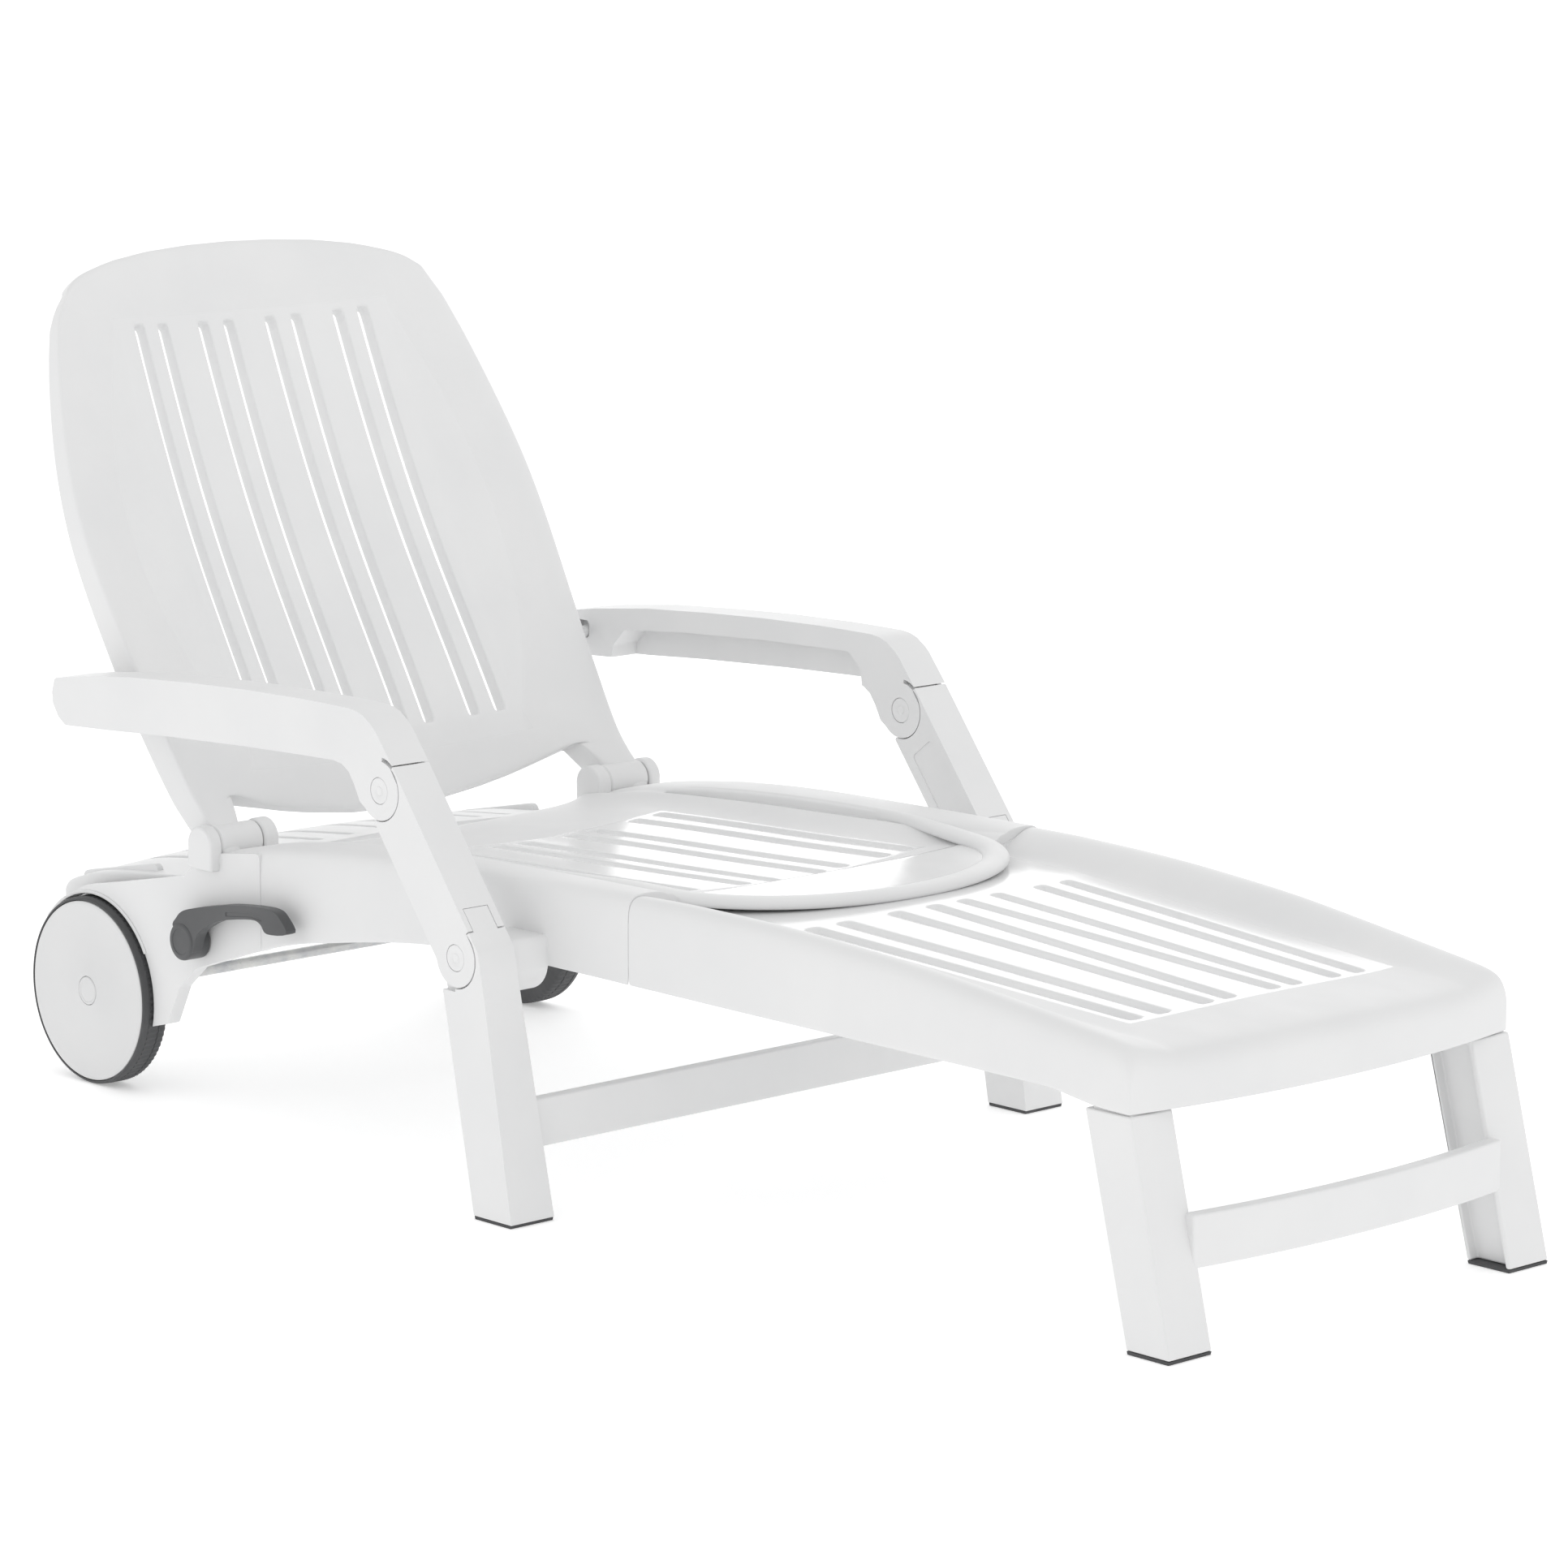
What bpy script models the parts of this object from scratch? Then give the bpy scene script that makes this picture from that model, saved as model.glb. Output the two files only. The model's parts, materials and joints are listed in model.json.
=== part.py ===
"""Reclining sun lounger: moulded resin frame, slatted back, linked armrests, two wheels.

Metres, +Z up, +Y towards the head end, X across.  Side shapes are written in "station"
coordinates: y counts from the front feet and the whole model is shifted by Y_MID.
"""
import bpy
import bmesh
import math
from mathutils import Matrix, Vector

for ob in list(bpy.data.objects):
    bpy.data.objects.remove(ob, do_unlink=True)

# ---------------------------------------------------------------- sizes
Y_MID = 0.8051           # shift that centres the box on Y
GAP = 0.0003             # fit between touching pieces
WALL = 0.006             # moulded wall

HINGE = (1.2735, 0.2725)     # backrest hinge (y, z)
LOW = (0.8019, 0.2418)       # link on leg
UP = (0.9111, 0.3835)        # armrest on link
STUD = (1.3970, 0.4100)      # back stud in the armrest
WHEEL = (1.4657, 0.0963)     # axle
KNOB = (1.2880, 0.1760)      # lever shaft
LINK_A = math.atan2(UP[1] - LOW[1], UP[0] - LOW[0])
LINK_L = math.hypot(UP[1] - LOW[1], UP[0] - LOW[0])
LEAN = math.radians(62.0)    # backrest frame

ARM_IN, ARM_OUT = 0.3139, 0.3575     # armrest and link, inner and outer face
TNG_IN, TNG_OUT = 0.3226, 0.3510     # tongues between fork cheeks
SLOT_IN, SLOT_OUT = 0.3220, 0.3516
HALF_W = [(0.02, 0.2425), (0.0517, 0.2441), (0.5, 0.262), (0.8, 0.272), (1.1, 0.282),
          (1.22, 0.285), (1.60, 0.285)]
CREST = [(0.03, 0.262), (0.09, 0.2685), (0.156, 0.277), (0.305, 0.296), (0.471, 0.3075),
         (0.60, 0.3095), (0.76, 0.307), (0.99, 0.302), (1.11, 0.292), (1.20, 0.280), (1.28, 0.262)]
PANEL = [(0.03, 0.256), (0.15, 0.262), (0.35, 0.275), (0.55, 0.287), (0.70, 0.287)]
SKIRT = [(0.03, 0.2057), (0.104, 0.2076), (0.133, 0.2159), (0.80, 0.2266), (0.963, 0.2215),
         (1.138, 0.1925), (1.216, 0.1706), (1.28, 0.1560)]
SEAM_Y = 0.6643

# ---------------------------------------------------------------- materials and collections
PARTS = bpy.data.collections.new("reclining_sun_lounger")
TOOLS = bpy.data.collections.new("cutters")
bpy.context.scene.collection.children.link(PARTS)
bpy.context.scene.collection.children.link(TOOLS)


def material(name, colour, rough, metal=0.0):
    m = bpy.data.materials.new(name)
    m.use_nodes = True
    b = m.node_tree.nodes["Principled BSDF"]
    b.inputs["Base Color"].default_value = (*colour, 1.0)
    b.inputs["Roughness"].default_value = rough
    b.inputs["Metallic"].default_value = metal
    return m


RESIN = material("white_resin", (0.86, 0.86, 0.85), 0.35)
RESIN_HUB = material("hub_resin", (0.80, 0.80, 0.80), 0.40)
DARK = material("dark_grey_resin", (0.075, 0.077, 0.080), 0.5)
RUBBER = material("dark_grey_rubber", (0.060, 0.061, 0.064), 0.7)
STEEL = material("zinc_steel", (0.62, 0.63, 0.65), 0.35, 1.0)


# ---------------------------------------------------------------- mesh helpers
def lerp(table, t):
    if t <= table[0][0]:
        return table[0][1]
    for (a, va), (b, vb) in zip(table, table[1:]):
        if t <= b:
            return va + (vb - va) * (t - a) / (b - a)
    return table[-1][1]


def cutter(name, mesh, matrix=Matrix.Identity(4)):
    """Put a mesh in the tool collection; station y becomes model y here."""
    ob = bpy.data.objects.new(name, mesh)
    ob.matrix_basis = Matrix.Translation((0, -Y_MID, 0)) @ matrix
    TOOLS.objects.link(ob)
    ob.hide_render = True
    ob.display_type = "WIRE"
    return ob


def mesh_of(name, bm):
    bmesh.ops.recalc_face_normals(bm, faces=bm.faces)
    me = bpy.data.meshes.new(name)
    bm.to_mesh(me)
    bm.free()
    me.shade_smooth()
    me.set_sharp_from_angle(angle=math.radians(28))
    return me


def outline_block(name, poly, half, matrix):
    """A closed flat outline extruded by half each way along the matrix's Z, as a welded mesh."""
    cu = bpy.data.curves.new(name, "CURVE")
    cu.dimensions = "2D"
    cu.fill_mode = "BOTH"
    cu.extrude = half
    sp = cu.splines.new("POLY")
    sp.points.add(len(poly) - 1)
    for pt, (u, v) in zip(sp.points, poly):
        pt.co = (u, v, 0.0, 1.0)
    sp.use_cyclic_u = True
    ob = bpy.data.objects.new(name, cu)
    me = bpy.data.meshes.new_from_object(ob)
    bpy.data.objects.remove(ob)
    bm = bmesh.new()
    bm.from_mesh(me)
    bmesh.ops.remove_doubles(bm, verts=bm.verts, dist=1e-6)
    bmesh.ops.dissolve_limit(bm, angle_limit=0.001, verts=bm.verts, edges=bm.edges, delimit={"NORMAL"})
    return cutter(name, mesh_of(name, bm), matrix)


ACROSS = Matrix(((0, 0, 1, 0), (1, 0, 0, 0), (0, 1, 0, 0), (0, 0, 0, 1)))     # outline (y, z), run along X


def prism_x(name, poly, x0, x1):
    return outline_block(name, poly, abs(x1 - x0) / 2, Matrix.Translation(((x0 + x1) / 2, 0, 0)) @ ACROSS)


def prism_z(name, poly, z0, z1):
    return outline_block(name, poly, (z1 - z0) / 2, Matrix.Translation((0, 0, (z0 + z1) / 2)))


def box(name, x0, x1, y0, y1, z0, z1):
    bm = bmesh.new()
    size = Matrix.Diagonal((abs(x1 - x0), y1 - y0, z1 - z0, 1.0))
    bmesh.ops.create_cube(bm, size=1.0, matrix=size)
    return cutter(name, mesh_of(name, bm), Matrix.Translation(((x0 + x1) / 2, (y0 + y1) / 2, (z0 + z1) / 2)))


def circle(c, r, n=32, a0=0.0, a1=360.0, closed=True):
    """Points (y, z) on an arc; an open arc includes its end."""
    m = n if closed else n + 1
    return [(c[0] + r * math.cos(math.radians(a0 + (a1 - a0) * k / n)),
             c[1] + r * math.sin(math.radians(a0 + (a1 - a0) * k / n))) for k in range(m)]


def rod(name, x0, x1, c, r, n=32):
    """Cylinder along X through c = (y, z)."""
    bm = bmesh.new()
    bmesh.ops.create_cone(bm, cap_ends=True, segments=n, radius1=r, radius2=r, depth=abs(x1 - x0))
    turn = Matrix.Rotation(math.pi / 2, 4, "Y")
    return cutter(name, mesh_of(name, bm), Matrix.Translation(((x0 + x1) / 2, *c)) @ turn)


def turned(name, profile, c, sx, n=48):
    """Turned solid about X through c: profile is (x, r) from the inner end to the outer end."""
    line = [(profile[-1][0], 0.0)] + profile[::-1] + [(profile[0][0], 0.0)]
    me = bpy.data.meshes.new(name)
    me.from_pydata([(r, 0.0, x) for x, r in line], [(i, i + 1) for i in range(len(line) - 1)], [])
    ob = cutter(name, me, Matrix.Translation((0, *c)) @ Matrix.Rotation(sx * math.pi / 2, 4, "Y"))
    m = ob.modifiers.new("turn", "SCREW")
    m.axis = "Z"
    m.steps = m.render_steps = n
    m.use_merge_vertices = True
    m.merge_threshold = 1e-5
    m.use_smooth_shade = True
    return ob


def tapered_box(name, low, high):
    """Cube whose bottom and top faces are moved to (x pair, y pair, z)."""
    bm = bmesh.new()
    bmesh.ops.create_cube(bm, size=2.0)
    for v in bm.verts:
        xs, ys, z = high if v.co.z > 0 else low
        v.co = (sorted(xs)[v.co.x > 0], ys[v.co.y > 0], z)
    return cutter(name, mesh_of(name, bm))


def height_solid(name, rows, cols, top, bottom, y_of=None, matrix=Matrix.Identity(4)):
    """Block under a grid shaped by top(x, y), extruded down to bottom(x, y).

    rows are the y stations and cols(y) the x stations; y_of bends a row in plan.
    """
    bm = bmesh.new()
    nr, nc = len(rows), len(cols(rows[0]))
    bmesh.ops.create_grid(bm, x_segments=nc - 1, y_segments=nr - 1, size=0.5)
    bm.verts.ensure_lookup_table()
    down = {}
    for v in bm.verts:
        r, c = round((v.co.y + 0.5) * (nr - 1)), round((v.co.x + 0.5) * (nc - 1))
        y = rows[r]
        x = cols(y)[c]
        yy = y_of(x, y) if y_of else y
        v.co = (x, yy, top(x, y))
        down[(round(x, 6), round(yy, 6))] = bottom(x, y)
    new = bmesh.ops.extrude_face_region(bm, geom=bm.faces[:])
    for v in new["geom"]:
        if isinstance(v, bmesh.types.BMVert):
            v.co.z = down[(round(v.co.x, 6), round(v.co.y, 6))]
    return cutter(name, mesh_of(name, bm), matrix)


def boolean(ob, op, other):
    m = ob.modifiers.new(op.lower(), "BOOLEAN")
    m.operation = op
    m.solver = "EXACT"
    m.object = other
    return ob


def node(name, base, steps, mat, axis=None):
    """Make base the finished piece: steps are ('+', ob), ('-', ob) or ('&', ob)."""
    ops = {"+": "UNION", "-": "DIFFERENCE", "&": "INTERSECT"}
    for sign, other in steps:
        boolean(base, ops[sign], other)
    TOOLS.objects.unlink(base)
    PARTS.objects.link(base)
    base.name = name
    base.data.name = name
    base.hide_render = False
    base.display_type = "TEXTURED"
    base.data.materials.clear()
    base.data.materials.append(mat)
    if axis is not None:
        centre = Matrix.Translation((axis[0], axis[1] - Y_MID, axis[2]))
        if base.modifiers and base.modifiers[0].type == "SCREW":
            centre = base.matrix_basis.copy()
        base.data.transform(centre.inverted() @ base.matrix_basis)
        base.matrix_basis = centre
    return base


def sn(s, n, origin, ang=LINK_A):
    """Point at s along and n across the link direction, from origin (y, z)."""
    return (origin[0] + s * math.cos(ang) - n * math.sin(ang),
            origin[1] + s * math.sin(ang) + n * math.cos(ang))


def sides(fn):
    """Run a builder for the left (-X) and the right (+X) side."""
    for tag, sx in (("left", -1), ("right", 1)):
        fn(tag, lambda a, b, s=sx: (s * a, s * b), sx)


# ---------------------------------------------------------------- leg-rest moulding
def rail_cols(y, inset=0.0):
    w = lerp(HALF_W, y) - inset
    half = [0.0, 0.09, 0.165, w - 0.051, w - 0.030, w - 0.014, w - 0.005, w]
    return [-v for v in half[:0:-1]] + half


def cross_height(x, y, inner):
    """Rail crest near the edge falling to the inner surface."""
    w, c = lerp(HALF_W, y), lerp(CREST, y)
    d = w - abs(x)
    edge = [(0.0, c - 0.014), (0.005, c - 0.004), (0.014, c), (0.030, c - 0.004), (0.051, inner)]
    return lerp(edge, d)


def apron_bow(x, y):
    w = lerp(HALF_W, y)
    k = max(0.0, 1.0 - max(0.0, y - 0.0517) / 0.16)
    return y - 0.026 * k * (1.0 - (x / w) ** 2)


def lr_top(x, y):
    edge = {0.0517: 0.018, 0.0560: 0.007, 0.0640: 0.002}
    return cross_height(x, y, lerp(PANEL, y)) - edge.get(round(y, 4), 0.0)


rows = [0.0517, 0.0560, 0.0640, 0.09, 0.13, 0.156, 0.23, 0.305, 0.39, 0.471, 0.55, 0.60, SEAM_Y - GAP]
outer = height_solid("leg_rest_block", rows, rail_cols, lr_top, lambda x, y: lerp(SKIRT, y), apron_bow)
hollow_rows = [0.0577, 0.09, 0.13, 0.156, 0.23, 0.305, 0.39, 0.471, 0.55, 0.60, SEAM_Y + 0.01]
hollow = height_solid("leg_rest_hollow", hollow_rows, lambda y: rail_cols(y, WALL),
                      lambda x, y: cross_height(x, y, lerp(PANEL, y)) - WALL,
                      lambda x, y: 0.18, apron_bow)

SLOT_X = [(0.0286, 0.018), (0.0580, 0.068), (0.1126, 0.1336), (0.1464, 0.1726)]   # front x, rear x


def slots(y0, y1, xs, half, z0, z1, bow=0.0):
    """Slots through a panel as quads in plan, mirrored in X."""
    out = []
    for a, b in xs:
        ya, yb = y0 + bow * a, y1 + bow * b
        for s in (-1, 1):
            out.append(prism_z("slot", [(s * a - half, ya), (s * a + half, ya),
                                        (s * b + half, yb), (s * b - half, yb)], z0, z1))
    return out


lr_cuts = [("-", hollow)] + [("-", o) for o in slots(0.146, 0.528, SLOT_X, 0.0085, 0.18, 0.34, 0.05)]
for s in (-1, 1):        # corner blocks that the front legs plug against
    lr_cuts.append(("+", box("corner_block", min(s * 0.190, s * 0.2425), max(s * 0.190, s * 0.2425),
                             0.0545, 0.1030, 0.2066, 0.250)))
for yr in (0.135, 0.60):  # stiffening ribs under the panel
    lr_cuts.append(("+", box("rib", -0.24, 0.24, yr, yr + 0.005, 0.232 if yr < 0.3 else 0.245,
                             lerp(PANEL, yr) - 0.002)))
node("leg_rest_frame", outer, lr_cuts, RESIN)


# ---------------------------------------------------------------- seat and rear deck moulding
D_FULL = 0.70            # where the round front of the seat reaches full width
SEAT_FLOOR = [(0.66, 0.2900), (0.72, 0.2850), (0.85, 0.2790), (1.0, 0.2740), (1.12, 0.2680),
              (1.22, 0.2600), (1.28, 0.2540)]


def seat_cols(y, inset=0.0):
    w = lerp(HALF_W, y) - inset
    half = [0.0, 0.09, 0.165, 0.198, 0.214, 0.224, 0.232, w - 0.014, w - 0.005, w]
    return [-v for v in half[:0:-1]] + half


def seat_top(x, y):
    w, c, f = lerp(HALF_W, y), lerp(CREST, y), lerp(SEAT_FLOOR, y)
    a = abs(x)
    t = [(0.0, f), (0.165, f + 0.001), (0.198, f + 0.003), (0.214, f + 0.008), (0.224, c - 0.004),
         (0.232, c - 0.001), (w - 0.014, c), (w - 0.005, c - 0.004), (w, c - 0.014)]
    return lerp(t, a)


rows = [SEAM_Y, 0.70, 0.76, 0.83, 0.90, 0.99, 1.05, 1.11, 1.16, 1.20, 1.24, 1.28]
seat = height_solid("seat_block", rows, seat_cols, seat_top, lambda x, y: lerp(SKIRT, y))
seat_hollow = height_solid("seat_hollow", [SEAM_Y + WALL] + rows[1:-1] + [1.29],
                           lambda y: seat_cols(y, WALL), lambda x, y: seat_top(x, y) - 0.0055,
                           lambda x, y: 0.10)
steps = [("-", seat_hollow)]

# front lip of the seat, riding over the leg-rest panel
def bow_front(half, depth, y_end, n=20):
    """Front half of an ellipse about the seat, from left to right, stopping at y_end."""
    f = math.acos((D_FULL - y_end) / depth)
    return [(half * math.sin(f * (2 * k / n - 1)), D_FULL - depth * math.cos(f * (2 * k / n - 1)))
            for k in range(n + 1)]


LIP_END = SEAM_Y + 0.007
steps.append(("+", prism_z("seat_lip", bow_front(0.2140, 0.152, LIP_END)
                           + bow_front(0.190, 0.130, LIP_END)[::-1], 0.2890, 0.3010)))
steps.append(("+", prism_z("seat_front_pan", bow_front(0.202, 0.140, LIP_END - 0.0007), 0.2883, 0.2932)))

# rear deck behind the hinge line
DECK = [(1.262, 0.2480), (1.345, 0.2400), (1.40, 0.2345), (1.46, 0.2290), (1.50, 0.2210), (1.549, 0.2060)]


def deck_top(x, y):
    return lerp(DECK, y) - 0.012 * (x / 0.262) ** 2


deck_cols = lambda y: [-0.262, -0.20, -0.13, -0.065, 0.0, 0.065, 0.13, 0.20, 0.262]
deck_rows = [1.345, 1.40, 1.46, 1.50, 1.535, 1.549]
deck = height_solid("deck_block", deck_rows, deck_cols, deck_top, lambda x, y: 0.176 if y > 1.5 else 0.190)
deck_hollow = height_solid("deck_hollow", [1.350, 1.40, 1.46, 1.50, 1.543],
                           lambda y: [v * 0.977 for v in deck_cols(y)],
                           lambda x, y: deck_top(x, y) - 0.0055, lambda x, y: 0.10)
boolean(deck, "DIFFERENCE", deck_hollow)
steps.append(("+", deck))

# side walls carrying the hinge, the lever and the wheel arch
WALL_YZ = [(1.19, 0.2750), (1.255, 0.2660), (1.300, 0.2450), (1.314, 0.2350), (1.416, 0.2144), (1.48, 0.2020),
           (1.5066, 0.1900), (1.545, 0.1640), (1.5655, 0.1277), (1.555, 0.1270), (1.4657, 0.0963),
           (1.3705, 0.0731), (1.3445, 0.0799), (1.3236, 0.1208), (1.2962, 0.1441), (1.2164, 0.1706),
           (1.19, 0.1780)]


def walls(tag, xr, sx):
    a, b = sorted(xr(0.2700, 0.2850))
    w = prism_x("side_wall_" + tag, WALL_YZ, a, b)
    inner = [(1.20, 0.262), (1.25, 0.256), (1.290, 0.240), (1.33, 0.222), (1.345, 0.19), (1.345, 0.15),
             (1.31, 0.148), (1.29, 0.158), (1.20, 0.184)]
    c, d = sorted(xr(0.2600, 0.2790))
    boolean(w, "DIFFERENCE", prism_x("wall_pocket", inner, c, d))
    steps.append(("+", w))
    # bracket inside the wheel that carries the axle
    c, d = sorted(xr(0.2440, 0.2520))
    br = prism_x("axle_bracket", [(1.40, 0.2320), (1.405, 0.10), (1.4480, 0.0800), (1.4657, 0.0763),
                                  (1.4834, 0.0800), (1.52, 0.10), (1.53, 0.2060)], c, d)
    steps.append(("+", br))
    # tie between deck edge and wall, ahead of the wheel
    c, d = sorted(xr(0.2200, 0.2820))
    steps.append(("+", box("deck_tie", c, d, 1.205, 1.400, 0.1930, 0.2040)))
    # hinge lugs
    for lo, hi in ((0.2100, 0.2275), (0.2806, 0.2955)):
        c, d = sorted(xr(lo, hi))
        lug = [(1.2540, 0.2300), (1.2930, 0.2300)] + circle(HINGE, 0.0195, 14, 0, 180, False)
        steps.append(("+", prism_x("hinge_lug", lug, c, d)))
    # leg and link lug on the rail
    c, d = sorted(xr(0.2670, ARM_IN - 0.0005))
    lug = [(0.770, 0.272), (0.770, 0.218), (0.7760, 0.2060), (0.7880, 0.1985), (0.8019, 0.1960),
           (0.8160, 0.1985), (0.8280, 0.2060), (0.834, 0.218), (0.834, 0.272)]
    steps.append(("+", prism_x("leg_lug", lug, c, d)))
    # lever bearing
    c, d = sorted(xr(0.2660, 0.2855))
    steps.append(("+", rod("lever_bearing", c, d, KNOB, 0.0125, 20)))


sides(walls)


def wall_holes(tag, xr, sx):
    c, d = sorted(xr(0.2560, 0.30))
    steps.append(("-", rod("wheel_arch", c, d, WHEEL, 0.0985, 40)))
    c, d = sorted(xr(0.20, 0.30))
    steps.append(("-", rod("hinge_bore", c, d, HINGE, 0.0053, 16)))
    c, d = sorted(xr(0.2640, 0.32))
    steps.append(("-", rod("leg_bore", c, d, LOW, 0.0063, 16)))
    c, d = sorted(xr(0.24, 0.30))
    steps.append(("-", rod("lever_bore", c, d, KNOB, 0.0050, 16)))
    c, d = sorted(xr(0.24, 0.26))
    steps.append(("-", rod("axle_bore", c, d, WHEEL, 0.0063, 16)))
    # well for the back arm and the toothed quadrant below it
    c, d = sorted(xr(0.2280, 0.2803))
    steps.append(("-", box("arm_well", c, d, 1.205, 1.345, 0.2041, 0.33)))
    c, d = sorted(xr(0.2480, 0.2590))
    steps.append(("-", box("pawl_well", c, d, 1.2640, 1.3300, 0.14, 0.33)))


sides(wall_holes)
seat_x = [(0.030, 0.030), (0.064, 0.064), (0.125, 0.125), (0.160, 0.160)]
steps += [("-", o) for o in slots(0.705, 1.100, seat_x, 0.0085, 0.22, 0.34, 0.10)]
for s in (-1, 1):
    steps.append(("-", prism_z("side_slit", [(s * 0.2165, 0.80), (s * 0.2195, 0.80), (s * 0.2195, 1.16),
                                             (s * 0.2165, 1.16)], 0.2, 0.34)))
deck_x = [(0.030, 0.030), (0.080, 0.082), (0.130, 0.134), (0.180, 0.186)]
steps += [("-", o) for o in slots(1.362, 1.500, deck_x, 0.0040, 0.20, 0.30)]
node("seat_rear_frame", seat, steps, RESIN)


# ---------------------------------------------------------------- backrest
TURN = Matrix.Translation((0, *HINGE)) @ Matrix.Rotation(LEAN, 4, "X")      # (x, v, w) to the model


def bk(v, w):
    c, s = math.cos(LEAN), math.sin(LEAN)
    return (HINGE[0] + v * c - w * s, HINGE[1] + v * s + w * c)


FACE = [(-0.02, -0.0400), (0.05, -0.0370), (0.10, -0.0345), (0.1294, -0.0350), (0.19, -0.0385), (0.25, -0.0430),
        (0.3153, -0.0460), (0.3753, -0.0460), (0.43, -0.0435), (0.48, -0.0400), (0.53, -0.0355),
        (0.5677, -0.0315), (0.60, -0.0275), (0.66, -0.0190)]                       # middle of the face, (v, w)
ARM_RISE = [(-0.018, 0.0330), (0.0, 0.0330), (0.03, 0.0200), (0.06, 0.0100), (0.10, 0.0040), (0.16, 0.0)]
DISH, DISH_X = 0.0275, 0.295                                                       # the sides come forward
RIM = [(-0.018, 0.030), (0.10, 0.040), (0.18, 0.044), (0.25, 0.036), (0.40, 0.026), (0.50, 0.022), (0.66, 0.016)]
OUT = [(0.280, -0.010), (0.280, 0.03), (0.2835, 0.09), (0.2880, 0.15), (0.2920, 0.21), (0.2955, 0.26),
       (0.2982, 0.31), (0.2975, 0.36), (0.2910, 0.4108), (0.2765, 0.4828), (0.2640, 0.5300), (0.2505, 0.5690),
       (0.2390, 0.5900), (0.2220, 0.6080), (0.1970, 0.6220), (0.1600, 0.6325), (0.110, 0.6410), (0.055, 0.6458),
       (0.0, 0.6472)]
INN = [(0.0, 0.0215), (0.055, 0.0235), (0.105, 0.0285), (0.148, 0.0350), (0.190, 0.0430), (0.2080, 0.0495),
       (0.2160, 0.0515), (0.2225, 0.0480), (0.2262, 0.040), (0.2282, 0.025), (0.2282, -0.010)]
outline = [(-x, v) for x, v in OUT] + OUT[-2::-1] + [(x, v) for x, v in INN[::-1]] + [(-x, v) for x, v in INN[1:]]


def inset(poly, d):
    """Offset a closed polygon inward by d along averaged edge normals."""
    n, area = len(poly), 0.0
    for i in range(n):
        x0, y0 = poly[i]
        x1, y1 = poly[(i + 1) % n]
        area += x0 * y1 - x1 * y0
    sgn = 1.0 if area > 0 else -1.0
    res = []
    for i in range(n):
        p, q, r = Vector(poly[i - 1]), Vector(poly[i]), Vector(poly[(i + 1) % n])
        a, b = (q - p).normalized(), (r - q).normalized()
        na, nb = Vector((-a.y, a.x)) * sgn, Vector((-b.y, b.x)) * sgn
        m = (na + nb).normalized()
        res.append(tuple(q + m * (d / max(0.5, m.dot(na)))))
    return res


def prism_w(name, poly, w0, w1):
    """Outline in (x, v) of the backrest frame, extruded across the panel."""
    return outline_block(name, poly, (w1 - w0) / 2, TURN @ Matrix.Translation((0, 0, (w0 + w1) / 2)))


def smooth_step(t):
    t = min(1.0, max(0.0, t))
    return t * t * (3 - 2 * t)


def back_face(x, v):
    """Front surface of the back: dished across, with its two arms rising to the hinge."""
    arm = smooth_step((abs(x) - 0.195) / 0.035)
    return lerp(FACE, v) + DISH * (x / DISH_X) ** 2 + arm * lerp(ARM_RISE, v)


BACK_COLS = [0.0, 0.06, 0.12, 0.165, 0.195, 0.212, 0.230, 0.26, 0.30, 0.315]


def back_solid(name, rows, top, bottom, half=1.0):
    xs = [half * x for x in [-x for x in BACK_COLS[:0:-1]] + BACK_COLS]
    return height_solid(name, rows, lambda v: xs, top, bottom, matrix=TURN)


BACK_ROWS = [-0.018, 0.0, 0.03, 0.06, 0.10, 0.16, 0.22, 0.28, 0.34, 0.40, 0.46, 0.52, 0.57, 0.61, 0.66]
thick = back_solid("back_slab", BACK_ROWS, back_face, lambda x, v: back_face(x, v) - lerp(RIM, v))
hull = prism_w("back_outline", outline, -0.14, 0.06)
behind = back_solid("back_hollow", [-0.03] + BACK_ROWS[1:] + [0.70], lambda x, v: back_face(x, v) - 0.006,
                    lambda x, v: -0.20, 1.03)
boolean(behind, "INTERSECT", prism_w("back_inset", inset(outline, 0.0058), -0.21, 0.05))
back = [("&", hull), ("-", behind)]
for tag, s in (("left", -1), ("right", 1)):
    a, b = sorted((s * 0.2282, s * 0.2800))
    back.append(("+", rod("arm_boss", a, b, HINGE, 0.0180, 24)))
    a, b = sorted((s * 0.2760, s * 0.3010))
    back.append(("+", rod("stud_boss", a, b, STUD, 0.0088, 16)))
low_rim = [bk(-0.03, -0.0520), bk(0.06, -0.0520), bk(0.10, -0.0560), bk(0.17, -0.0640), bk(0.17, -0.16),
           bk(-0.03, -0.16)]
back.append(("-", prism_x("low_rim_cut", low_rim, -0.2090, 0.2090)))
for v, d, half in ((0.085, 0.014, 0.89), (0.590, 0.016, 0.72)):
    back.append(("+", back_solid("back_rib", [v, v + 0.005], lambda x, v: back_face(x, v) - 0.003,
                                 lambda x, v: back_face(x, v) - 0.003 - d, half)))
BACK_X = [(0.0290, 0.0270), (0.0620, 0.0605), (0.1200, 0.1142), (0.1530, 0.1455)]   # bottom x, top x
for a, b in BACK_X:
    va, vb = 0.1040 + 0.007 * (a / 0.154) ** 2, 0.5680 - 0.014 * (b / 0.1455) ** 2
    for s in (-1, 1):
        quad = [(s * a - 0.0065, va), (s * a + 0.0065, va), (s * b + 0.0065, vb), (s * b - 0.0065, vb)]
        back.append(("-", prism_w("back_slot", quad, -0.10, 0.05)))
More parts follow.
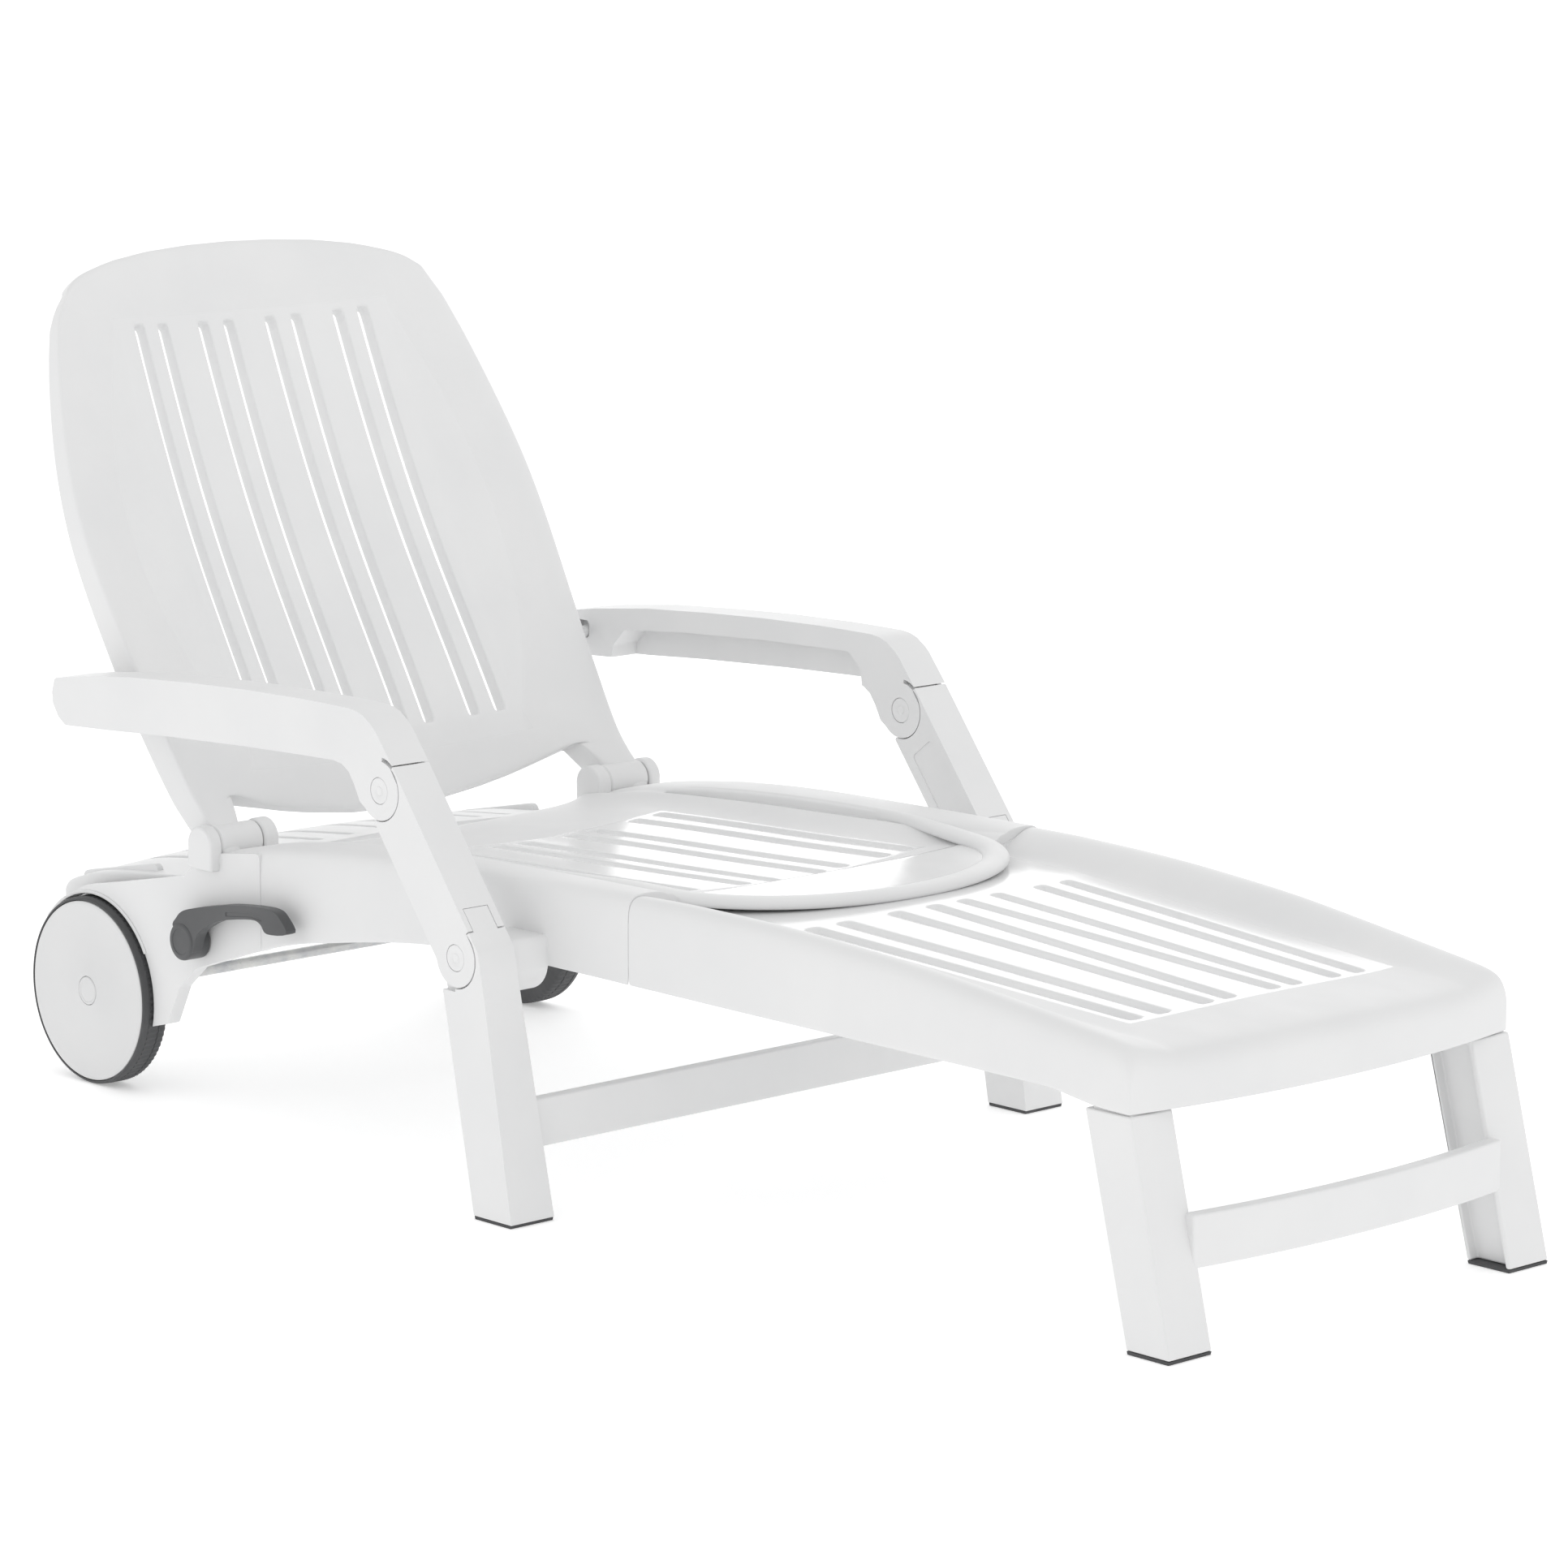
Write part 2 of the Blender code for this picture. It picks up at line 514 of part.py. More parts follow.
for s in (-1, 1):
    a, b = sorted((s * 0.20, s * 0.30))
    back.append(("-", rod("back_bore", a, b, HINGE, 0.0053, 16)))
    a, b = sorted((s * 0.27, s * 0.32))
    back.append(("-", rod("stud_bore", a, b, STUD, 0.0063, 16)))
    a, b = sorted((s * 0.2500, s * 0.2566))      # seat of the toothed quadrant in the boss
    back.append(("-", prism_x("quadrant_seat", [HINGE[:]] + circle(HINGE, 0.03, 8, 205, 335, False), a, b)))
node("backrest", thick, back, RESIN, (0.0, *HINGE))


# ---------------------------------------------------------------- legs
PAD = 0.0032


def bowed_bar(name, x, y_end, bow, z0, z1, deep, n=10):
    """Cross bar bowed towards the foot end in plan."""
    arc = [(x * (-1 + 2 * k / n), y_end - bow * (1 - (-1 + 2 * k / n) ** 2)) for k in range(n + 1)]
    return prism_z(name, arc + [(u, v + deep) for u, v in arc[::-1]], z0, z1)


front = bowed_bar("front_cross_bar", 0.205, 0.0180, 0.016, 0.0720, 0.1190, 0.014)
fl = []
for s in (-1, 1):
    o = tapered_box("front_leg", ((s * 0.1932, s * 0.2463), (0.0, 0.0506), PAD + GAP),
                    ((s * 0.1929, s * 0.2441), (0.0497, 0.1041), 0.2051))
    c = tapered_box("front_leg_pocket", ((s * 0.1880, s * 0.2408), (0.0055, 0.0450), PAD - 0.001),
                    ((s * 0.1880, s * 0.2386), (0.0552, 0.0985), 0.2001))
    boolean(o, "DIFFERENCE", c)
    fl.append(("+", o))
node("front_leg_frame", front, fl, RESIN)

mid = box("mid_cross_bar", -0.318, 0.318, 0.7470, 0.7610, 0.0640, 0.1100)
ml, ml_cut = [], []
for s in (-1, 1):
    o = tapered_box("mid_leg", ((s * 0.3080, s * 0.3598), (0.7225, 0.7762), PAD + GAP),
                    ((s * 0.3139, s * 0.3575), (0.7612, 0.8203), 0.2100))
    c = tapered_box("mid_leg_pocket", ((s * 0.3140, s * 0.3540), (0.7285, 0.7702), PAD - 0.001),
                    ((s * 0.3200, s * 0.3520), (0.7600, 0.8060), 0.1800))
    boolean(o, "DIFFERENCE", c)
    ml.append(("+", o))
    a, b = sorted((s * ARM_IN, s * ARM_OUT))
    shoulder = [(0.7610, 0.2085), (0.8203, 0.2065), (0.8205, 0.2086), (0.8025, 0.2086), (0.8025, 0.25),
                sn(0.0090, 0.018, LOW), sn(0.0090, 0.0314, LOW), sn(-0.012, 0.0316, LOW)]
    sh = prism_x("leg_shoulder", shoulder, a, b)
    boolean(sh, "DIFFERENCE", rod("cheek_clear", min(s * 0.30, s * 0.37), max(s * 0.30, s * 0.37),
                                  LOW, 0.0292, 28))
    ml.append(("+", sh))
    a, b = sorted((s * TNG_IN, s * TNG_OUT))
    tongue = [(0.7620, 0.2070), (0.8200, 0.2055)] + circle(LOW, 0.0265, 14, -20, 52.4, False) \
        + [sn(0.0265, 0.003, LOW), sn(0.0335, 0.003, LOW), sn(0.0335, 0.0312, LOW), sn(-0.012, 0.0314, LOW)]
    ml.append(("+", prism_x("leg_tongue", tongue, a, b)))
    a, b = sorted((s * 0.30, s * 0.37))
    ml_cut.append(("-", rod("leg_pin_bore", a, b, LOW, 0.0063, 16)))
node("mid_leg_frame", mid, ml + ml_cut, RESIN)


def feet(tag, xr, sx):
    node("foot_pad_front_" + tag, box("pad", *xr(0.1936, 0.2459), 0.0004, 0.0502, 0.0, PAD), [], RUBBER)
    node("foot_pad_mid_" + tag, box("pad", *xr(0.3084, 0.3594), 0.7229, 0.7758, 0.0, PAD), [], RUBBER)


sides(feet)


# ---------------------------------------------------------------- arm links and armrests
def links(tag, xr, sx):
    L = LINK_L
    poly = [sn(0.0105, 0.0275, LOW), sn(0.0105, 0.0314, LOW), sn(L + 0.0073, 0.0314, LOW),
            sn(L + 0.0065, 0.0280, LOW), sn(L, 0.010, LOW), sn(L - 0.020, -0.0245, LOW), sn(0.0140, -0.0245, LOW)]
    deg = math.degrees(LINK_A)
    poly += circle(LOW, 0.0275, 14, deg - 63.0, deg - 270.0, False)
    a, b = sorted(xr(ARM_IN, ARM_OUT))
    body = prism_x("link_body", poly, a, b)
    st = []
    # top: cheek seats, then the tongue
    for lo, hi in ((0.30, TNG_IN), (TNG_OUT, 0.37)):
        a, b = sorted(xr(lo, hi))
        st.append(("-", rod("cheek_seat", a, b, UP, 0.0292, 28)))
    a, b = sorted(xr(TNG_IN, TNG_OUT))
    st.append(("+", rod("link_tongue", a, b, UP, 0.0265, 28)))
    # bottom: fork slot over the leg tongue
    a, b = sorted(xr(SLOT_IN, SLOT_OUT))
    fork = [sn(-0.05, -0.06, LOW), sn(0.0340, -0.06, LOW), sn(0.0340, 0.06, LOW), sn(-0.05, 0.06, LOW)]
    st.append(("-", prism_x("fork_slot", fork, a, b)))
    a, b = sorted(xr(0.30, 0.37))
    st.append(("-", rod("low_bore", a, b, LOW, 0.0063, 16)))
    st.append(("-", rod("up_bore", a, b, UP, 0.0063, 16)))
    a, b = sorted(xr(ARM_OUT - 0.0030, 0.37))
    st.append(("-", rod("low_head_seat", a, b, LOW, 0.0129, 20)))
    # lightening pocket on the inner face
    a, b = sorted(xr(0.30, 0.3515))
    pocket = [sn(0.046, -0.0190, LOW), sn(0.046, 0.0260, LOW), sn(L - 0.040, 0.0260, LOW), sn(L - 0.040, -0.0190, LOW)]
    st.append(("-", prism_x("link_pocket", pocket, a, b)))
    node("arm_link_" + tag, body, st, RESIN, (sx * 0.3357, *LOW))


sides(links)


def armrests(tag, xr, sx):
    deg = math.degrees(LINK_A)
    top = [(0.9080, 0.4300), (0.9200, 0.4430), (0.9320, 0.4520), (0.9540, 0.4565), (1.0300, 0.4565),
           (1.1150, 0.4548), (1.2000, 0.4510), (1.2970, 0.4450), (1.3800, 0.4360), (1.4231, 0.4297),
           (1.4280, 0.4150), (1.4270, 0.4040), (1.4180, 0.3910), (1.4068, 0.3840), (1.3300, 0.3880),
           (1.2456, 0.3935), (1.1164, 0.3997), (1.0200, 0.4030), (0.9790, 0.4040), (0.9660, 0.4020),
           (0.9560, 0.3960), (0.9480, 0.3850), (0.9400, 0.3700)]
    poly = top + circle(UP, 0.0280, 12, -42.0, -42.0 - 159.0, False) \
        + [sn(0.0077, 0.0272, UP), sn(0.0077, 0.0316, UP)]
    a, b = sorted(xr(ARM_IN, ARM_OUT))
    body = prism_x("armrest_body", poly, a, b)
    st = []
    # fork slot: clear of the link tongue and open downwards
    a, b = sorted(xr(SLOT_IN, SLOT_OUT))
    slot = circle(UP, 0.0290, 16, deg + 76.0, deg - 112.0, False) \
        + [sn(-0.0500, -0.0480, UP), sn(-0.0600, 0.0500, UP), sn(0.0077, 0.0500, UP), sn(0.0077, 0.0300, UP)]
    st.append(("-", prism_x("arm_fork_slot", slot, a, b)))
    # cylindrical relief the link's front shoulder turns through
    a, b = sorted(xr(0.30, 0.37))
    relief = circle(UP, 0.0326, 6, deg + 46.0, deg + 76.6, False) \
        + circle(UP, 0.0284, 8, deg + 110.0, deg + 46.0, False)
    st.append(("-", prism_x("shoulder_relief", relief, a, b)))
    # hand recess under the beam, open on the inner side
    a, b = sorted(xr(0.30, 0.3480))
    grip = [(1.3560, 0.3600), (1.3517, 0.3996), (1.3320, 0.4184), (1.2400, 0.4260), (1.1200, 0.4320),
            (0.9877, 0.4350), (0.9696, 0.4189), (0.9620, 0.3600)]
    st.append(("-", prism_x("hand_recess", grip, a, b)))
    # slot for the stud of the backrest
    a, b = sorted(xr(0.30, 0.3340))
    st.append(("-", box("stud_slot", a, b, STUD[0] - 0.0070, STUD[0] + 0.0255,
                        STUD[1] - 0.0070, STUD[1] + 0.0120)))
    a, b = sorted(xr(0.30, 0.37))
    st.append(("-", rod("arm_bore", a, b, UP, 0.0063, 16)))
    for lo, hi in ((0.30, ARM_IN + 0.0030), (ARM_OUT - 0.0030, 0.37)):
        a, b = sorted(xr(lo, hi))
        st.append(("-", rod("up_head_seat", a, b, UP, 0.0129, 20)))
    node("armrest_" + tag, body, st, RESIN, (sx * 0.3357, *UP))


sides(armrests)


# ---------------------------------------------------------------- pins and studs
def pins(tag, xr, sx):
    def pin(name, prof, c, n=20):
        return node(name, turned(name, prof, c, sx, n), [], STEEL if "hinge" in name else RESIN)
    pin("upper_arm_pin_" + tag, [(ARM_IN + 0.0002, 0.0125), (ARM_IN + 0.0027, 0.0125), (ARM_IN + 0.0027, 0.0060),
                                 (ARM_OUT - 0.0027, 0.0060), (ARM_OUT - 0.0027, 0.0125), (ARM_OUT, 0.0125)], UP)
    pin("lower_arm_pin_" + tag, [(0.2645, 0.0060), (ARM_OUT - 0.0027, 0.0060), (ARM_OUT - 0.0027, 0.0125),
                                 (ARM_OUT, 0.0125)], LOW)
    pin("back_hinge_pin_" + tag, [(0.2110, 0.0050), (0.2950, 0.0050)], HINGE)
    pin("armrest_stud_" + tag, [(0.2900, 0.0060), (0.3330, 0.0060)], STUD)


sides(pins)


# ---------------------------------------------------------------- wheels
def wheels(tag, xr, sx):
    def lathe(name, prof, bore, mat, extra=(), n=40):
        ob = turned(name, prof, WHEEL, sx, n)
        st = [("-", o) for o in extra]
        if bore:
            a, b = sorted(xr(0.20, 0.31))
            st.append(("-", rod("bore", a, b, WHEEL, bore, 24 if bore < 0.01 else 40)))
        return node(name, ob, st, mat, (sx * 0.28, *WHEEL))
    a, b = sorted(xr(0.2905, 0.31))
    seat_cut = rod("disc_seat", a, b, WHEEL, 0.0925, 40)
    lathe("wheel_tyre_" + tag, [(0.2640, 0.0935), (0.2660, 0.0955), (0.2700, 0.0963), (0.2890, 0.0963),
                                (0.2935, 0.0958), (0.2950, 0.0945)], 0.0603, RUBBER, [seat_cut])
    a, b = sorted(xr(0.2917, 0.31))
    lathe("wheel_hub_" + tag, [(0.2655, 0.0220), (0.2675, 0.0240), (0.2675, 0.0600), (0.2908, 0.0600),
                               (0.2908, 0.0920), (0.2946, 0.0920), (0.2954, 0.0912)], 0.0063, RESIN_HUB,
          [rod("cap_seat", a, b, WHEEL, 0.0149, 28)])
    node("wheel_cap_" + tag, turned("cap", [(0.2920, 0.0145), (0.2956, 0.0145), (0.2964, 0.0132)],
                                    WHEEL, sx, 28), [], RESIN_HUB, (sx * 0.28, *WHEEL))


sides(wheels)
node("wheel_axle", rod("wheel_axle", -0.2905, 0.2905, WHEEL, 0.0060, 20), [], STEEL)


# ---------------------------------------------------------------- recline lever, shaft, pawls, quadrants
HANDLE = [(1.3010, 0.1880), (1.2960, 0.1990), (1.2850, 0.2075), (1.2620, 0.2140), (1.2350, 0.2195), (1.2085, 0.2245),
          (1.1700, 0.2285), (1.1420, 0.2290), (1.1290, 0.2230), (1.1190, 0.2090), (1.1500, 0.2045),
          (1.1600, 0.2125), (1.1750, 0.2150), (1.2200, 0.2075), (1.2450, 0.1980), (1.2620, 0.1860), (1.2750, 0.1650)]


def levers(tag, xr, sx):
    a, b = sorted(xr(0.2860, 0.3095))
    knob = rod("knob", a, b, KNOB, 0.0190, 28)
    a, b = sorted(xr(0.2962, 0.3085))
    st = [("+", prism_x("handle", HANDLE, a, b))]
    a, b = sorted(xr(0.28, 0.3003))
    st.append(("-", rod("knob_bore", a, b, KNOB, 0.0048, 16)))
    node("recline_lever_" + tag, knob, st, DARK, (sx * 0.2980, *KNOB))
    # pawl on the shaft, under the quadrant
    a, b = sorted(xr(0.2502, 0.2562))
    d = Vector((HINGE[0] - KNOB[0], HINGE[1] - KNOB[1]))
    ang, dist = math.atan2(d.y, d.x), d.length
    reach = dist - 0.0525
    poly = [sn(0.0, -0.0085, KNOB, ang), sn(0.020, -0.0060, KNOB, ang), sn(reach - 0.004, -0.0045, KNOB, ang),
            sn(reach, -0.0020, KNOB, ang), sn(reach, 0.0020, KNOB, ang), sn(reach - 0.004, 0.0045, KNOB, ang),
            sn(0.020, 0.0060, KNOB, ang), sn(0.0, 0.0085, KNOB, ang)]
    a2, b2 = sorted(xr(0.24, 0.27))
    node("recline_pawl_" + tag, prism_x("pawl", poly, a, b),
         [("+", rod("pawl_hub", a, b, KNOB, 0.0100, 20)), ("-", rod("pawl_bore", a2, b2, KNOB, 0.0048, 16))],
         STEEL, (sx * 0.2532, *KNOB))
    # toothed quadrant fixed in the arm boss
    teeth = []
    for k in range(7):
        m = 232.0 + 12.0 * k
        teeth += [(m - 5.5, 0.0515), (m + 2.0, 0.0515), (m + 2.6, 0.0455), (m + 5.9, 0.0455)]
    rim = [(HINGE[0] + r * math.cos(math.radians(t)), HINGE[1] + r * math.sin(math.radians(t))) for t, r in teeth]
    inner = circle(HINGE, 0.0058, 10, 312, 228, False)
    node("recline_quadrant_" + tag, prism_x("quadrant", rim + inner, a, b), [], STEEL, (sx * 0.2532, *HINGE))


sides(levers)
node("lever_shaft", rod("lever_shaft", -0.3000, 0.3000, KNOB, 0.0045, 16), [], STEEL, (0.0, *KNOB))
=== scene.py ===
"""Looks of the reclining sun lounger: moulded white resin shells, links, armrests, wheels and levers.

Metres.  Shapes are written with y counted from the front feet; Y0 puts them in the model's frame.
The backrest is written in its own plane, v up the back and w out of its face, and TURN leans it.
Sides are "left" (s = -1, -X) and "right" (s = +1).
"""

import json
import math

import bmesh
import bpy
from mathutils import Matrix, Vector


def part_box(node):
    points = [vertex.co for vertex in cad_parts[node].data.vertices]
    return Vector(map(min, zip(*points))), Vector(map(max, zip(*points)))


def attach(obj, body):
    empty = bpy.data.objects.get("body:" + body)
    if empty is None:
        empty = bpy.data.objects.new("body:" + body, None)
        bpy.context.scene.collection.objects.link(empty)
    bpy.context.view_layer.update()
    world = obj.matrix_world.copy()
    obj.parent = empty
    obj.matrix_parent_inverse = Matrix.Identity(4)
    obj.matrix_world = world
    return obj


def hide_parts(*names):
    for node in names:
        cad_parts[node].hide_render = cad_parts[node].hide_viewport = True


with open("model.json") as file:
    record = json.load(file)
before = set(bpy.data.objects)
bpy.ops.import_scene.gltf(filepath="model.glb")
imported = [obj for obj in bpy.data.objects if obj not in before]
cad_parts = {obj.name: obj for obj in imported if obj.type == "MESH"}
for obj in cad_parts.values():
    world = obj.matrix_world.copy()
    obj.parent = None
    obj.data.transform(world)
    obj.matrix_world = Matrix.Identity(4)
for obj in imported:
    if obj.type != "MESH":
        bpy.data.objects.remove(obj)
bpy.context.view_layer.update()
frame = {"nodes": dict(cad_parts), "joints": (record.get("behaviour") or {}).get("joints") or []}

Y0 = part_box("front_leg_frame")[0].y
JOINT = {j["name"]: (j["pos_m"][1] - Y0, j["pos_m"][2]) for j in frame["joints"]}
HINGE = JOINT["backrest_recline"]
LOW = JOINT["arm_link_left_pivot"]
UP = JOINT["armrest_left_pivot"]
KNOB = JOINT["recline_lever_pivot"]
WHEEL = JOINT["wheel_left_spin"]
LINK_A = math.atan2(UP[1] - LOW[1], UP[0] - LOW[0])
LINK_L = math.hypot(UP[1] - LOW[1], UP[0] - LOW[0])
LEAN = math.radians(62.0)                # slope of the back at rest
SIDES = (("left", -1), ("right", 1))

WALL = 0.0028                            # shell thickness of the big mouldings
ARM_IN, ARM_OUT = 0.3139, 0.3575         # inner and outer face of armrest, link and leg top
TNG_IN, TNG_OUT = 0.3226, 0.3510         # the tongue inside each fork of the linkage
SLOT_IN, SLOT_OUT = 0.3220, 0.3516       # the fork's slot round that tongue
ACROSS = (0.30, 0.37)                    # reach of a cut right through an arm
PIN_BORE = 0.0063                        # radius of every pin and axle hole
HEAD_R = 0.0129                          # pocket for a pin's head
EYE_CLEAR = 0.0292                       # room round an eye of the linkage
SEAM_Y = 0.6643                          # where the leg rest meets the seat

# Tables over y: half width, rail crest, leg-rest panel, lower edge of the skirt, seat pan, rear deck.
HALF_W = [(0.02, 0.2425), (0.0517, 0.2441), (0.5, 0.262), (0.8, 0.272), (1.1, 0.282),
          (1.22, 0.285), (1.60, 0.285)]
CREST = [(0.03, 0.262), (0.09, 0.2685), (0.156, 0.277), (0.305, 0.296), (0.471, 0.3075),
         (0.60, 0.3095), (0.76, 0.307), (0.99, 0.302), (1.11, 0.292), (1.20, 0.280), (1.28, 0.262)]
PANEL = [(0.03, 0.256), (0.15, 0.262), (0.35, 0.275), (0.55, 0.287), (0.70, 0.287)]
SKIRT = [(0.03, 0.2057), (0.104, 0.2076), (0.133, 0.2159), (0.80, 0.2266), (0.963, 0.2215),
         (1.138, 0.1925), (1.216, 0.1706), (1.28, 0.1560)]
SEAT_FLOOR = [(0.66, 0.2900), (0.72, 0.2850), (0.85, 0.2790), (1.0, 0.2740), (1.12, 0.2680),
              (1.22, 0.2600), (1.28, 0.2540)]
DECK = [(1.262, 0.2480), (1.345, 0.2400), (1.40, 0.2345), (1.46, 0.2290), (1.50, 0.2210), (1.549, 0.2060)]


# ---------------------------------------------------------------- materials
def shader(name):
    m = bpy.data.materials.new(name)
    m.use_nodes = True
    nt = m.node_tree
    return m, nt, nt.nodes["Principled BSDF"]


def noise(nt, scale, detail=3.0, stretch=(1, 1, 1)):
    """3-D noise over object coordinates in metres, so that its scale is cycles per metre."""
    tc = nt.nodes.new("ShaderNodeTexCoord")
    mp = nt.nodes.new("ShaderNodeMapping")
    mp.inputs["Scale"].default_value = stretch
    tx = nt.nodes.new("ShaderNodeTexNoise")
    tx.inputs["Scale"].default_value = scale
    tx.inputs["Detail"].default_value = detail
    nt.links.new(tc.outputs["Object"], mp.inputs["Vector"])
    nt.links.new(mp.outputs["Vector"], tx.inputs["Vector"])
    return tx.outputs["Fac"]


def spread(nt, fac, low, high, at=(0.3, 0.7)):
    """Colour or grey ramp from low to high over the noise."""
    r = nt.nodes.new("ShaderNodeValToRGB")
    for e, p, c in zip(r.color_ramp.elements, at, (low, high)):
        e.position = p
        e.color = (*c, 1.0) if isinstance(c, tuple) else (c, c, c, 1.0)
    nt.links.new(fac, r.inputs["Fac"])
    return r.outputs["Color"]


def bumps(nt, bsdf, layers):
    """Stack of bumps: (height, strength, depth in metres)."""
    last = None
    for height, strength, depth in layers:
        b = nt.nodes.new("ShaderNodeBump")
        b.inputs["Strength"].default_value = strength
        b.inputs["Distance"].default_value = depth
        nt.links.new(height, b.inputs["Height"])
        if last:
            nt.links.new(last, b.inputs["Normal"])
        last = b.outputs["Normal"]
    nt.links.new(last, bsdf.inputs["Normal"])


def resin(name, low, high, rough, grain, skin=700.0, octaves=4.0):
    """Moulded plastic: flow mottling, a fine tool skin and small changes of gloss."""
    m, nt, b = shader(name)
    nt.links.new(spread(nt, noise(nt, 9.0, 4.0), low, high), b.inputs["Base Color"])
    nt.links.new(spread(nt, noise(nt, 38.0, octaves, (1, 0.4, 1)), rough[0], rough[1]), b.inputs["Roughness"])
    bumps(nt, b, [(noise(nt, 22.0, 2.0), 0.10, 0.0006), (noise(nt, skin, 2.0), grain, 0.00010)])
    b.inputs["IOR"].default_value = 1.49
    return m


WHITE = resin("white_resin_satin", (0.770, 0.773, 0.776), (0.800, 0.801, 0.801), (0.50, 0.60), 0.22)
# Glossy copy of the white resin: its low roughness is real, and its base colour is painted a little lighter
# than WHITE as painted reflection.
GLOSS_PAINTED_REFLECTION = resin("white_resin_gloss_painted_reflection", (0.775, 0.778, 0.781), (0.804, 0.806, 0.806), (0.15, 0.18), 0.03,
              skin=60.0, octaves=0.5)
HUB = resin("hub_resin_satin", (0.690, 0.693, 0.695), (0.715, 0.716, 0.716), (0.38, 0.48), 0.2)
GREY = resin("dark_resin", (0.064, 0.066, 0.069), (0.090, 0.092, 0.095), (0.34, 0.46), 0.35)
TREAD = resin("tyre_resin", (0.052, 0.053, 0.055), (0.086, 0.087, 0.090), (0.55, 0.72), 0.6)
PAD = resin("foot_rubber", (0.050, 0.051, 0.053), (0.083, 0.083, 0.086), (0.62, 0.8), 0.7)


def zinc():
    """Zinc plate: drawn streaks along the rod and a clouded, faintly yellow passivation."""
    m, nt, b = shader("zinc_plated_steel")
    tint = spread(nt, noise(nt, 60.0, 6.0), (0.50, 0.51, 0.53), (0.68, 0.68, 0.66))
    nt.links.new(tint, b.inputs["Base Color"])
    nt.links.new(spread(nt, noise(nt, 400.0, 3.0, (0.08, 1, 1)), 0.24, 0.46), b.inputs["Roughness"])
    bumps(nt, b, [(noise(nt, 900.0, 2.0, (0.06, 1, 1)), 0.3, 0.00008)])
    b.inputs["Metallic"].default_value = 1.0
    return m


ZINC = zinc()


# ---------------------------------------------------------------- helpers
def lerp(table, t):
    """Value of a (place, value) table at t, held level beyond its ends."""
    if t <= table[0][0]:
        return table[0][1]
    for (a, va), (b, vb) in zip(table, table[1:]):
        if t <= b:
            return va + (vb - va) * (t - a) / (b - a)
    return table[-1][1]


def smooth(t):
    """S-shaped step from 0 to 1."""
    t = min(1.0, max(0.0, t))
    return t * t * (3 - 2 * t)


def piece(name, bm, mat, body, matrix=Matrix.Identity(4), second=None):
    """Finish a mesh as a shown piece on a body."""
    me = bpy.data.meshes.new(name)
    bm.transform(Matrix.Translation((0, Y0, 0)) @ matrix)
    bmesh.ops.recalc_face_normals(bm, faces=bm.faces)
    bm.to_mesh(me)
    bm.free()
    me.shade_smooth()
    me.materials.append(mat)
    if second:
        me.materials.append(second)
    ob = bpy.data.objects.new(name, me)
    bpy.context.scene.collection.objects.link(ob)
    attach(ob, body)
    return ob


def modifier(ob, kind, **settings):
    m = ob.modifiers.new(kind.lower(), kind)
    for key, value in settings.items():
        setattr(m, key, value)
    return m


def shell(name, rows, lines, point, is_open, depth, levels, body, matrix=Matrix.Identity(4), flat=None,
          wall=WALL):
    """Moulded sheet with lipped openings.

    rows x lines is the cage; point(x, y) places a corner, is_open(i, j) leaves a cell out,
    depth(i, j) is how far the edge hangs there and levels the shares of it that get an edge loop.
    flat(i, j) picks the cells with the glossy finish, whose material is also painted a little lighter as
    painted reflection.
    """
    bm = bmesh.new()
    corner, index = {}, {}

    def vert(i, j):
        if (i, j) not in corner:
            v = bm.verts.new(point(lines[j](rows[i]), rows[i]))
            corner[(i, j)] = v
            index[v] = (i, j)
        return corner[(i, j)]

    for i in range(len(rows) - 1):
        for j in range(len(lines) - 1):
            if not is_open(i, j):
                f = bm.faces.new([vert(i, j), vert(i, j + 1), vert(i + 1, j + 1), vert(i + 1, j)])
                # glossy cells take the second material, painted a little lighter as painted reflection
                f.material_index = 1 if flat and flat(i, j) else 0
    edges = [e for e in bm.edges if e.is_boundary]
    hang = {v: depth(*index[v]) for e in edges for v in e.verts}
    edges = [e for e in edges if all(hang[v] > 0 for v in e.verts)]
    last = {v: v for e in edges for v in e.verts}
    for share in levels:
        nxt = {v: bm.verts.new(v.co - Vector((0, 0, hang[v] * share))) for v in last}
        for e in edges:
            a, b = e.verts
            f = e.link_faces[0]
            loop = [lp for lp in f.loops if lp.edge == e][0]
            if loop.vert == a:
                a, b = b, a
            bm.faces.new([last[a], last[b], nxt[b], nxt[a]])
        last = nxt
    ob = piece(name, bm, WHITE, body, matrix, GLOSS_PAINTED_REFLECTION)
    modifier(ob, "SOLIDIFY", thickness=wall, offset=-1.0, use_quality_normals=True)
    modifier(ob, "SUBSURF", levels=2, render_levels=2)
    return ob


def mirror_lines(half):
    """Column lines from half of them: each is a function of y giving x >= 0."""
    return [lambda y, f=f: -f(y) for f in half[:0:-1]] + half


def slot_lines(slots, half_w, side=0.0035):
    """Four column lines for each slot: its edges and a support beside each.  slots: (x, y, x, y)."""
    out = []
    for xa, ya, xb, yb in slots:
        for d in (-half_w - side, -half_w, half_w, half_w + side):
            out.append(lambda y, xa=xa, ya=ya, xb=xb, yb=yb, d=d: xa + (xb - xa) * (y - ya) / (yb - ya) + d)
    return out


def extruded(outline, axis, end):
    """Solid from a flat outline, with its far face at end on the axis (0 for x, 2 for z)."""
    bm = bmesh.new()
    f = bm.faces.new([bm.verts.new(p) for p in outline])
    top = bmesh.ops.extrude_face_region(bm, geom=[f])
    for v in top["geom"]:
        if isinstance(v, bmesh.types.BMVert):
            v.co[axis] = end
    bmesh.ops.recalc_face_normals(bm, faces=bm.faces)
    return bm


def prism(poly, x0, x1):
    """Outline (y, z) run across from x0 to x1."""
    return extruded([(x0, y, z) for y, z in poly], 0, x1)


def span(s, a, b):
    """The two x values of a range from a to b on side s, in rising order."""
    return sorted((s * a, s * b))


